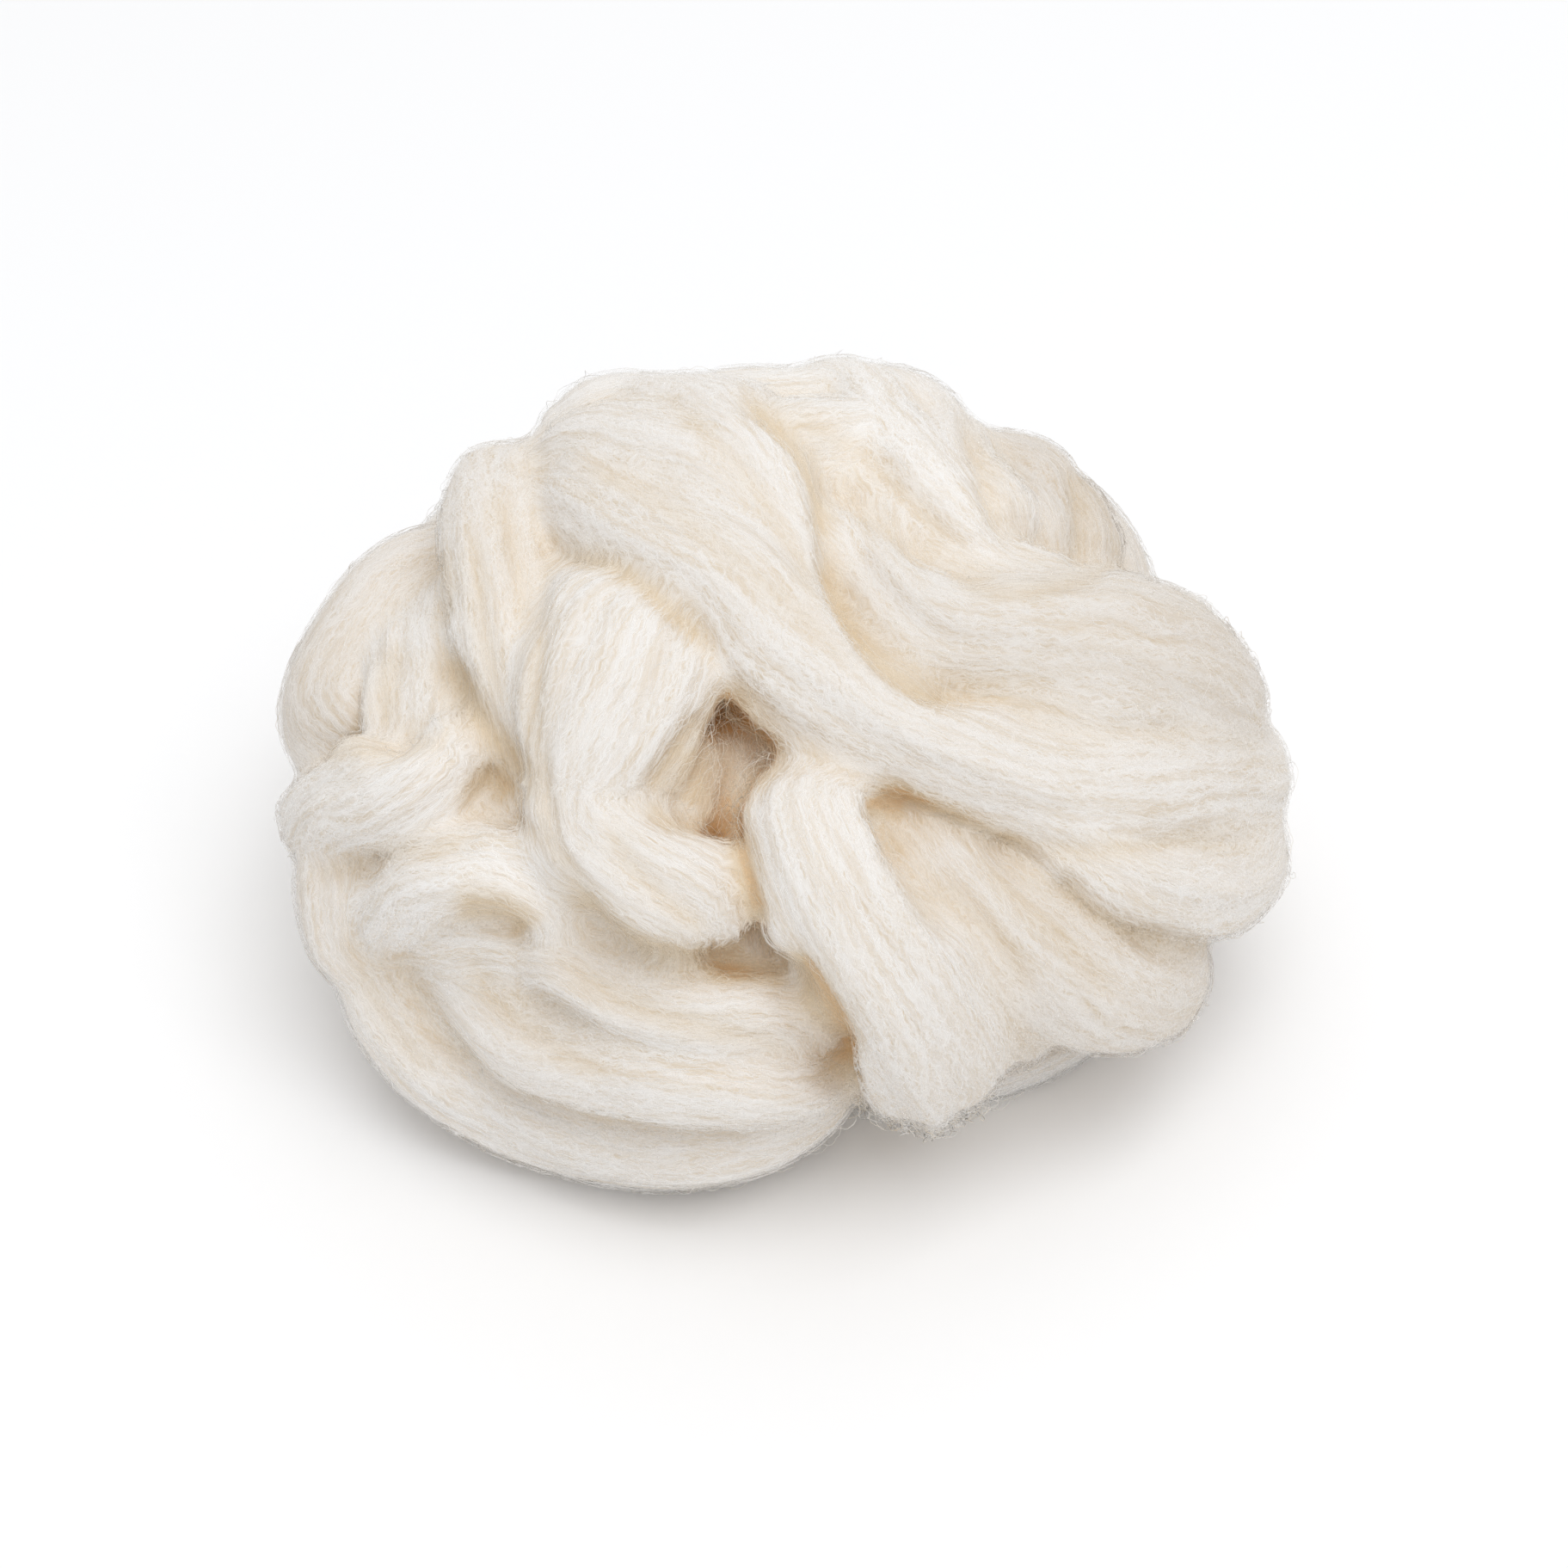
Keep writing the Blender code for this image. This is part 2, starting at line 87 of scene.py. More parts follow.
# One table for each fold, with a row for each station: x, y, z, wide, thick.
FRONT_FOLDS = {
    "main_sweep": (
        (-43, 40, 78, 20, 20),
        (-40, 17, 104, 23, 26),
        (-25, -7, 113, 27, 28),
        (-10, -21, 114, 28, 30),
        (2, -34, 108, 32, 30),
        (16, -45, 102, 28, 28),
        (31, -51, 97, 25, 26),
        (54, -50, 87, 23, 24),
        (79, -35, 74, 24, 24),
        (95, -10, 56, 27, 25),
        (80, 8, 60, 26, 20),
    ),
    "sweep_back": (
        (-42, 36, 80, 20, 20),
        (-41, 35, 100, 25, 28),
        (-27, 23, 109, 30, 30),
        (-14, 8, 114, 30, 30),
        (-2, -10, 113, 27, 28),
        (9, -22, 107, 20, 22),
    ),
    "crown_left": (
        (-41, 43, 79, 24, 22),
        (-41, 52, 94, 31, 28),
        (-29, 52, 97, 31, 30),
        (-16, 37, 107, 31, 30),
        (-6, 13, 116, 26, 30),
        (2, -6, 113, 19, 28),
        (9, -18, 103, 13, 18),
    ),
    "crown_ridge": (
        (-4, 53, 88, 8, 14),
        (5, 53, 96, 12, 16),
        (11, 30, 106, 15, 18),
        (17, 10, 110, 16, 18),
        (26, -2, 105, 13, 16),
    ),
    "crown_middle": (
        (-10, 32, 100, 16, 18),
        (0, 57, 95, 18, 22),
        (13, 56, 101, 20, 26),
        (22, 26, 111, 20, 24),
        (32, 5, 113, 19, 22),
        (44, -7, 109, 16, 18),
    ),
    "crown_right": (
        (2, 38, 102, 20, 22),
        (13, 57, 97, 22, 26),
        (25, 56, 98, 22, 26),
        (33, 43, 100, 20, 24),
        (37, 20, 109, 16, 22),
        (48, 2, 107, 14, 18),
    ),
    "shoulder": (
        (12, 48, 82, 12, 16),
        (16, 5, 106, 19, 22),
        (20, -14, 109, 20, 24),
        (30, -27, 107, 25, 28),
        (45, -28, 106, 27, 30),
        (62, -25, 101, 34, 32),
        (78, -17, 89, 35, 30),
        (87, -5, 72, 34, 28),
        (76, 4, 68, 30, 22),
    ),
    "shoulder_back": (
        (22, 10, 98, 20, 20),
        (32, -4, 104, 24, 24),
        (47, -11, 101, 25, 26),
        (63, -9, 94, 26, 26),
        (78, 2, 84, 26, 24),
    ),
    "shoulder_low": (
        (30, -36, 100, 16, 18),
        (45, -37, 98, 18, 20),
        (62, -37, 92, 20, 22),
        (80, -27, 80, 20, 22),
        (88, -12, 68, 20, 20),
    ),
    "right_band": (
        (36, -52, 82, 8, 12),
        (44, -55, 84, 9, 16),
        (54, -57, 79, 13, 20),
        (69, -56, 67, 18, 24),
        (86, -39, 51, 22, 25),
        (97, -19, 44, 22, 22),
        (90, -4, 44, 20, 20),
    ),
    "fan_low": (
        (21, -50, 86, 14, 16),
        (34, -63, 76, 18, 20),
        (47, -68, 63, 25, 25),
        (64, -63, 45, 28, 28),
        (76, -48, 33, 26, 26),
        (80, -34, 34, 24, 22),
    ),
    "fan_left": (
        (17, -53, 84, 14, 16),
        (28, -66, 73, 16, 20),
        (38, -71, 58, 18, 22),
        (48, -60, 32, 16, 20),
        (42, -52, 28, 14, 18),
    ),
    "front_drop": (
        (9, -45, 83, 20, 18),
        (4.5, -62, 89, 27, 24),
        (5.5, -72.5, 90, 29, 28),
        (11.5, -80, 81, 31, 30),
        (21, -84, 66, 32, 30),
        (29, -80, 45, 32, 28),
        (31, -64, 21, 31, 24),
    ),
    "knuckle": (
        (-36, 16, 92, 30, 24),
        (-33, -14, 104, 35, 28),
        (-33, -36, 107, 41, 31),
        (-35, -48, 101, 38, 29),
        (-38.5, -57, 91, 27, 26),
        (-36.5, -65, 87, 24, 26),
        (-28, -73, 85, 27, 28),
        (-19.5, -75, 80, 28, 27),
        (-14.5, -71, 69, 21, 20),
    ),
    "tuck": (
        (-19, -32, 82, 14, 13),
        (-18, -43, 87, 18, 15),
        (-21, -53, 85, 23, 16),
        (-23, -60, 80, 22, 14),
    ),
    "hole_floor": (
        (-9, -16, 95, 14, 14),
        (-10, -28, 87, 18, 16),
        (-9, -40, 81, 20, 18),
        (-7, -54, 73, 20, 16),
        (-4, -66, 66, 16, 16),
        (-2, -75, 60, 16, 16),
    ),
    "fist_floor": (
        (-42, -58, 64, 16, 16),
        (-31, -67, 67, 18, 18),
        (-17, -70, 63, 18, 18),
        (-4, -69, 60, 16, 16),
    ),
    "strap": (
        (-44, 43, 82, 20, 20),
        (-60, 41, 91, 22, 24),
        (-60, 6, 101, 22, 26),
        (-57, -17, 99, 20, 24),
        (-54, -34, 90, 15, 20),
        (-48, -47, 75, 11, 14),
    ),
    "outer_back": (
        (-62, 30, 74, 22, 22),
        (-75, 27, 74.5, 26, 28),
        (-85, 13, 73, 28, 32),
        (-93, -2, 65, 27, 30),
        (-86, -15, 60, 26, 26),
    ),
    "inner_slip": (
        (-71, 27, 72, 10, 14),
        (-79, 6, 79, 12, 16),
        (-78, -13, 80, 13, 18),
        (-76, -27, 74, 14, 18),
        (-74, -36, 66, 12, 16),
    ),
    "slip_floor": (
        (-68, 18, 78, 20, 18),
        (-69, 3, 84, 22, 20),
        (-68, -14, 84, 22, 20),
        (-66, -29, 78, 22, 20),
        (-59, -40, 73, 18, 18),
        (-54, -48, 71, 14, 14),
    ),
    "left_band": (
        (-85, -23, 45, 20, 22),
        (-95, -19, 49, 20, 24),
        (-88, -32, 66, 18, 26),
        (-76, -42, 78, 18, 24),
        (-67, -41, 84, 17, 22),
        (-64, -31, 83, 12, 16),
    ),
    "left_drop": (
        (-86, -20, 56, 20, 20),
        (-89, -34, 50, 26, 26),
        (-86, -43, 37, 20, 24),
        (-69, -45, 33, 14, 16),
    ),
    "curl": (
        (-68, -38, 37, 16, 16),
        (-80, -42, 45, 17, 20),
        (-68, -56, 69, 18, 24),
        (-56, -62, 76, 18, 24),
        (-46, -66, 74, 16, 20),
        (-40, -65, 61, 12, 14),
    ),
    "hollow_floor": (
        (-70, -32, 64, 18, 20),
        (-58, -44, 70, 22, 20),
        (-47, -52, 68, 18, 18),
    ),
    "curl_floor": (
        (-77, -42, 41, 14, 16),
        (-67, -55, 51, 17, 18),
        (-56, -63, 57, 16, 16),
        (-46, -66, 58, 12, 14),
    ),
    "base_outer": (
        (-75, -31, 41, 16, 20),
        (-82, -46, 32, 18, 24),
        (-72, -59, 25, 20, 26),
        (-55, -67, 19, 20, 28),
        (-37, -72, 16, 20, 28),
        (-20, -74, 16, 20, 28),
        (-4, -69, 17, 20, 26),
        (11, -60, 22, 18, 22),
    ),
    "base_middle": (
        (-75, -29, 41, 14, 16),
        (-75, -43, 34, 15, 22),
        (-66, -56, 28, 18, 26),
        (-51, -68, 24, 20, 28),
        (-33, -78, 24, 20, 28),
        (-14, -82, 26, 20, 28),
        (2, -73, 26, 18, 26),
        (13, -60, 26, 18, 20),
    ),
    "base_top": (
        (-67, -38, 37, 12, 16),
        (-62, -58, 43, 16, 22),
        (-49, -72, 42, 19, 26),
        (-33, -81, 44, 20, 26),
        (-16, -87, 46, 20, 26),
        (0, -82, 41, 18, 24),
        (12, -60, 27, 18, 18),
    ),
    "base_lip": (
        (-55, -51, 48, 12, 16),
        (-42, -71, 61, 13, 20),
        (-29, -79, 60, 14, 22),
        (-14, -83, 60, 14, 22),
        (-1, -80, 57, 14, 20),
        (8, -66, 38, 14, 16),
    ),
    "back_lobe": (
        (33, 44, 82, 12, 20),
        (44, 44, 90, 18, 26),
        (54, 33, 94, 21, 27),
        (60, 17, 96, 20, 24),
        (62, 3, 94, 18, 20),
    ),
    "lobe_floor": (
        (38, 42, 88, 16, 20),
        (46, 28, 96, 18, 20),
        (53, 14, 99, 18, 20),
        (57, 2, 98, 16, 18),
    ),
    "back_fold": (
        (39, 45, 83, 14, 20),
        (50, 45, 86, 16, 22),
        (61, 38, 83, 20, 24),
        (69, 28, 77, 20, 22),
        (70, 17, 70, 18, 20),
    ),
}

REAR_FOLDS = {
    "rear_crown": (
        (-30, -15, 98, 20, 20),
        (-28, 9, 110, 28, 26),
        (-4, 20, 113, 30, 28),
        (19, 29, 108, 26, 24),
        (38, 25, 95, 20, 20),
    ),
    "rear_top": (
        (-55, 8, 84, 20, 20),
        (-48, 35, 91, 28, 26),
        (-21, 50, 98, 30, 28),
        (11, 53, 98, 30, 26),
        (42, 43, 90, 26, 24),
        (60, 31, 76, 22, 22),
    ),
    "rear_right": (
        (66, -3, 78, 22, 24),
        (68, 12, 71, 28, 26),
        (64, 34, 64, 30, 26),
        (57, 54, 63, 30, 28),
        (46, 70, 58, 26, 26),
        (32, 66, 42, 24, 22),
    ),
    "rear_middle": (
        (-79, 6, 72, 22, 22),
        (-76, 32, 67, 30, 28),
        (-55, 58, 70, 34, 30),
        (-23, 73, 72, 36, 30),
        (16, 76, 70, 36, 30),
        (50, 63, 66, 30, 28),
        (70, 38, 60, 24, 24),
    ),
    "rear_low": (
        (-88, -7, 52, 22, 24),
        (-92, 21, 52, 28, 28),
        (-75, 55, 49, 34, 30),
        (-42, 79, 46, 36, 30),
        (0, 86, 44, 36, 30),
        (35, 77, 41, 28, 28),
        (55, 57, 41, 22, 24),
    ),
    "rear_side": (
        (82, 8, 66, 22, 22),
        (86, 26, 55, 28, 28),
        (83, 40, 43, 30, 28),
        (64, 44, 32, 24, 22),
    ),
    "rear_foot": (
        (-74, 6, 21, 24, 22),
        (-71, 36, 19, 32, 28),
        (-41, 62, 16, 34, 28),
        (0, 70, 14, 34, 28),
        (40, 60, 14, 34, 28),
        (68, 37, 17, 32, 28),
        (80, 12, 22, 28, 24),
        (74, -12, 27, 24, 22),
    ),
    "left_foot": (
        (-64, -35, 27, 18, 20),
        (-82, -21, 24, 24, 26),
        (-90, 0, 30, 26, 26),
        (-81, 20, 37, 20, 22),
    ),
    "under_left": (
        (-58, 9, 12, 22, 22),
        (-63, -20, 8, 28, 24),
        (-42, -45, 7, 28, 24),
        (-14, -46, 10, 22, 22),
    ),
    "under_right": (
        (0, -49, 11, 22, 22),
        (34, -48, 10, 26, 24),
        (61, -31, 11, 28, 24),
        (61, 0, 13, 22, 22),
    ),
}


# How far the fibres lie off the rope's own line, in degrees, at even steps from a fold's start to its end.
LEANS = {
    "knuckle": (50.0, 60.0, 56.0, 40.0, 18.0, 4.0, 0.0, 0.0, 0.0),
    "front_drop": (6.0, -4.0),
    "left_band": (-14.0, 0.0),
}
# Painted shade on folds that face aside, back or down: how much darker their wool is painted, as a share of
# its light, at a fold's start and at its end.
FOLD_PAINTED_SHADE = {
    "knuckle": (0.0, 0.10),
    "base_outer": (0.04, 0.04),
    "base_middle": (0.06, 0.06),
    "base_top": (0.08, 0.08),
    "base_lip": (0.08, 0.08),
    "right_band": (0.06, 0.12),
    "main_sweep": (0.08, 0.12),
    "sweep_back": (0.06, 0.06),
    "crown_left": (0.05, 0.02),
    "shoulder": (0.0, 0.30),
    "shoulder_low": (0.0, 0.16),
    "shoulder_back": (0.0, 0.22),
    "fan_low": (0.16, 0.20),
    "fan_left": (0.12, 0.16),
    "front_drop": (0.0, 0.16),
    "strap": (0.10, 0.08),
    "outer_back": (0.12, 0.24),
    "left_drop": (0.12, 0.08),
    "left_band": (0.10, 0.0),
    "inner_slip": (0.06, 0.06),
    "back_lobe": (0.24, 0.30),
    "lobe_floor": (0.24, 0.30),
    "back_fold": (0.18, 0.18),
    "crown_right": (0.04, 0.10),
    "crown_ridge": (0.04, 0.04),
}


@dataclass(frozen=True)
class Crease:
    """A soft trough where two folds meet or one folds in on itself, or a ridge if deep is below 0.

    Its path runs through places in the front camera's frame, and its width and how deep it goes are in
    millimetres. The shade tint is how much painted tan shade the wool along it gets.
    """

    wide: float
    deep: float
    path: tuple[tuple[float, float], ...]
    shade_tint: float = 0.3


# The last number of a crease, where given, is how much painted shade it gets.
CREASES = {
    "crown_to_sweep": Crease(
        1.9, 5.2,
        ((850, 452), (885, 474), (925, 508), (948, 552), (960, 600), (964, 650)),
        0.6,
    ),
    "shoulder_to_sweep": Crease(
        2.1, 6.0,
        ((960, 600), (966, 655), (986, 704), (1015, 748), (1052, 786), (1100, 806), (1180, 810)),
        0.62,
    ),
    "shoulder_lower": Crease(
        2.0, 2.2,
        ((1160, 806), (1200, 836), (1260, 850), (1340, 850), (1430, 846)),
        0.2,
    ),
    "crown_inner": Crease(2.0, 3.0, ((955, 556), (1000, 588), (1045, 624), (1095, 664))),
    "crown_edge": Crease(2.0, 1.4, ((900, 470), (955, 500), (1015, 540), (1080, 600), (1140, 660))),
    "crown_back": Crease(2.6, 4.0, ((1118, 480), (1140, 530), (1156, 580), (1180, 640))),
    "lobe_back": Crease(2.2, 4.0, ((1232, 505), (1252, 555), (1260, 610), (1252, 665))),
    "shoulder_top": Crease(1.8, 2.0, ((1090, 662), (1170, 688), (1250, 674), (1320, 656))),
    "over_knuckle": Crease(
        1.9, 4.4,
        ((642, 636), (662, 646), (700, 650), (742, 672), (788, 712), (820, 746), (842, 776)),
        0.52,
    ),
    "tuck_lower": Crease(1.8, 2.4, ((752, 925), (768, 950), (805, 960), (842, 975)), 0.5),
    "slit": Crease(
        2.2, 4.0,
        ((856, 870), (850, 930), (856, 975), (866, 1020), (876, 1060), (892, 1100)),
        0.8,
    ),
    "under_sweep": Crease(
        1.9, 5.2,
        ((1000, 922), (1050, 938), (1110, 960), (1170, 984), (1225, 1014)),
        0.4,
    ),
    "band_lower": Crease(
        1.9, 5.0,
        ((1225, 1014), (1250, 1042), (1285, 1070), (1330, 1090), (1410, 1094)),
        0.5,
    ),
    "band_upper": Crease(2.0, 1.4, ((1130, 975), (1200, 988), (1290, 988), (1380, 975), (1470, 956))),
    "drop_right": Crease(
        2.4, 3.4,
        ((1004, 925), (1022, 962), (1046, 1002), (1076, 1046), (1112, 1098)),
        0.3,
    ),
    "fan_inner": Crease(2.0, 2.2, ((1062, 1000), (1130, 1060), (1175, 1110), (1205, 1160))),
    "fan_outer": Crease(2.0, 2.0, ((1120, 990), (1190, 1050), (1250, 1110), (1300, 1160))),
    "drop_left": Crease(
        3.4, 6.5,
        ((900, 1098), (932, 1146), (962, 1196), (984, 1245), (1004, 1296)),
        0.85,
    ),
    "under_fist": Crease(
        3.0, 4.4,
        ((650, 1000), (670, 1045), (702, 1082), (750, 1108), (800, 1120), (850, 1114), (900, 1118)),
        0.55,
    ),
    "fist_line": Crease(1.6, 1.4, ((700, 950), (730, 1000), (780, 1050), (830, 1085))),
    "knuckle_left": Crease(
        2.4, 2.4,
        ((636, 660), (624, 730), (618, 800), (620, 870), (634, 940), (650, 995)),
    ),
    "lobe_left": Crease(
        3.2, 4.0,
        ((508, 742), (522, 775), (538, 808), (562, 845), (596, 890), (628, 940)),
        0.6,
    ),
    "lobe_streak": Crease(2.0, 1.2, ((550, 600), (556, 660), (560, 720), (575, 790), (596, 850))),
    "lobe_edge": Crease(2.0, 1.8, ((512, 632), (520, 680), (512, 735))),
    "slip_left": Crease(2.2, 1.8, ((462, 740), (454, 780), (450, 820), (452, 858))),
    "band_left_top": Crease(2.0, 2.0, ((345, 902), (400, 890), (460, 876), (500, 862), (540, 844))),
    "band_left_low": Crease(2.0, 2.0, ((350, 1020), (400, 1010), (455, 992), (520, 982), (565, 960))),
    "curl_top": Crease(1.6, 1.6, ((560, 960), (610, 962), (655, 1000), (690, 1050))),
    "curl_inner": Crease(3.0, 1.8, ((520, 1056), (560, 1056), (600, 1070), (616, 1090)), 0.65),
    "base_left": Crease(2.6, 2.0, ((462, 1095), (480, 1150), (515, 1210), (560, 1255))),
    "base_middle": Crease(2.0, 1.4, ((540, 1095), (575, 1160), (640, 1215), (720, 1255))),
    "base_upper": Crease(2.2, 1.8, ((620, 1085), (700, 1150), (800, 1190), (890, 1212), (960, 1240))),
    "base_edge": Crease(1.6, 1.4, ((400, 1060), (420, 1130), (460, 1200), (520, 1262))),
    "sweep_left": Crease(
        1.8, 1.4,
        ((645, 542), (710, 555), (780, 595), (860, 655), (940, 725), (1020, 800)),
    ),
    "sweep_right": Crease(1.8, 1.0, ((760, 455), (820, 505), (880, 575), (925, 650), (960, 730))),
    "strap_line": Crease(2.4, 1.6, ((566, 560), (592, 620), (606, 690), (612, 760))),
    "hole_top": Crease(2.6, 1.2, ((840, 796), (848, 815), (855, 838), (860, 866)), 0.85),
    "curl_pit": Crease(3.4, 5.0, ((564, 890), (574, 906), (584, 920), (594, 934)), 0.65),
    "drop_root": Crease(3.0, 2.4, ((1008, 926), (1030, 938), (1060, 946)), 0.75),
    "pocket": Crease(2.6, 2.4, ((874, 1076), (884, 1094), (900, 1110)), 0.45),
    "back_fill": Crease(6.0, -7.0, ((392, 790), (402, 815), (412, 845), (420, 872), (430, 905)), 0.0),
    "curl_tip": Crease(
        2.4, -2.4,
        ((500, 864), (522, 850), (542, 846), (552, 866), (553, 892), (550, 916)),
        0.0,
    ),
    "knuckle_right": Crease(2.0, 3.0, ((820, 822), (806, 850), (786, 880), (766, 906), (754, 930)), 0.5),
    "tuck_shade": Crease(5.0, 0.2, ((812, 862), (812, 890), (806, 920), (800, 945)), 0.6),
}


def unit(vectors: Array) -> Array:
    """Scales each vector to length 1."""
    return vectors / np.maximum(np.linalg.norm(vectors, axis=-1, keepdims=True), 1e-9)


def dot(first: Array, second: Array) -> Array:
    """Sums the products of two rows of vectors, and keeps the last axis."""
    return np.sum(first * second, axis=-1, keepdims=True)


def smooth_step(low: float, high: float, value: Array) -> Array:
    """Rises smoothly from 0 at low to 1 at high: 3 t^2 - 2 t^3."""
    t = np.clip((value - low) / (high - low), 0, 1)
    return t * t * (3 - 2 * t)


def smooth_curve(rows: Array, places: Array) -> Array:
    """Reads a smooth curve through rows of numbers: a cubic through each row, its slope the chord beside it.

    Args:
        rows: one row for each station.
        places: where to read, counted in rows from the first one.

    Returns:
        One row for each place.
    """
    held = np.vstack([2 * rows[0] - rows[1], rows, 2 * rows[-1] - rows[-2]])
    row = np.minimum(places.astype(int), len(rows) - 2)
    part = (places - row)[:, None]
    p0, p1, p2, p3 = (held[row + step] for step in range(4))
    straight = (p2 - p0) * part
    bend = (2 * p0 - 5 * p1 + 4 * p2 - p3) * part**2
    twist = (3 * p1 - p0 - 3 * p2 + p3) * part**3
    return 0.5 * (2 * p1 + straight + bend + twist)


def ring_faces(rows: int, columns: int) -> Array:
    """Quads of a grid of points whose columns close into rings.

    Args:
        rows: how many rings lie one after another.
        columns: how many points each ring has.

    Returns:
        The quads, as point numbers.
    """
    here = np.arange(rows - 1)[:, None] * columns + np.arange(columns)
    beside = np.arange(rows - 1)[:, None] * columns + (np.arange(columns) + 1) % columns
    return np.stack([here, beside, beside + columns, here + columns], axis=-1).reshape(-1, 4)


def end_fans(rows: int, columns: int) -> Array:
    """Triangles that close the first and the last ring of a grid whose columns close into rings.

    Each fan has a middle point of its own, and the two come after all the points of the grid.

    Args:
        rows: how many rings lie one after another.
        columns: how many points each ring has.

    Returns:
        The triangles of the first fan, then those of the last, as point numbers.
    """
    ring = np.arange(columns)
    beside, last = (ring + 1) % columns, (rows - 1) * columns
    middle = np.full(columns, rows * columns)
    first_fan = np.stack([ring, beside, middle], axis=-1)
    last_fan = np.stack([last + beside, last + ring, middle + 1], axis=-1)
    return np.vstack([first_fan, last_fan])


def gathered(places: Array, values: Array, count: int) -> Array:
    """For each of count points, the sum of the rows of values whose place is that point."""
    return np.stack([np.bincount(places, column, count) for column in values.T], axis=1)


def held_up(points: Array, lowest: float) -> Array:
    """Lifts the points that lie too low: z becomes the larger of z and lowest."""
    points[..., 2] = np.maximum(points[..., 2], lowest)
    return points


def halved(quads: Array) -> Array:
    """Cuts each quad into two triangles."""
    return np.vstack([quads[:, [0, 1, 2]], quads[:, [0, 2, 3]]])


def put_mesh(name: str, points: Array, faces: Array) -> bpy.types.Object:
    """Makes an object from points in millimetres and faces that all have the same number of corners.

    Args:
        name: the piece's name.
        points: points x 3.
        faces: faces x corners, as point numbers.

    Returns:
        The new object, in the scene and shaded smooth.
    """
    mesh = bpy.data.meshes.new(name)
    mesh.vertices.add(len(points))
    mesh.vertices.foreach_set("co", (points * MM).astype(np.float32).ravel())
    mesh.loops.add(faces.size)
    mesh.loops.foreach_set("vertex_index", faces.astype(np.int32).ravel())
    mesh.polygons.add(len(faces))
    mesh.polygons.foreach_set("loop_start", np.arange(0, faces.size, faces.shape[1], dtype=np.int32))
    mesh.update(calc_edges=True)
    mesh.shade_smooth()
    piece = bpy.data.objects.new(name, mesh)
    bpy.context.scene.collection.objects.link(piece)
    return piece


def fluffed(normals: Array) -> Array:
    """The normals of loose fibres, which take in light on every side: the unit of normal + FLUFF."""
    return unit(normals + FLUFF)


def point_values(piece: bpy.types.Object, name: str, values: Array) -> None:
    """Keeps one number for each point of the piece, as a named attribute."""
    layer = piece.data.attributes.new(name, "FLOAT", "POINT")
    layer.data.foreach_set("value", values.astype(np.float32).ravel())


def corner_map(piece: bpy.types.Object, name: str, places: Array) -> None:
    """Adds a UV map: one place for each corner of each face."""
    layer = piece.data.uv_layers.new(name=name)
    layer.data.foreach_set("uv", places.astype(np.float32).ravel())


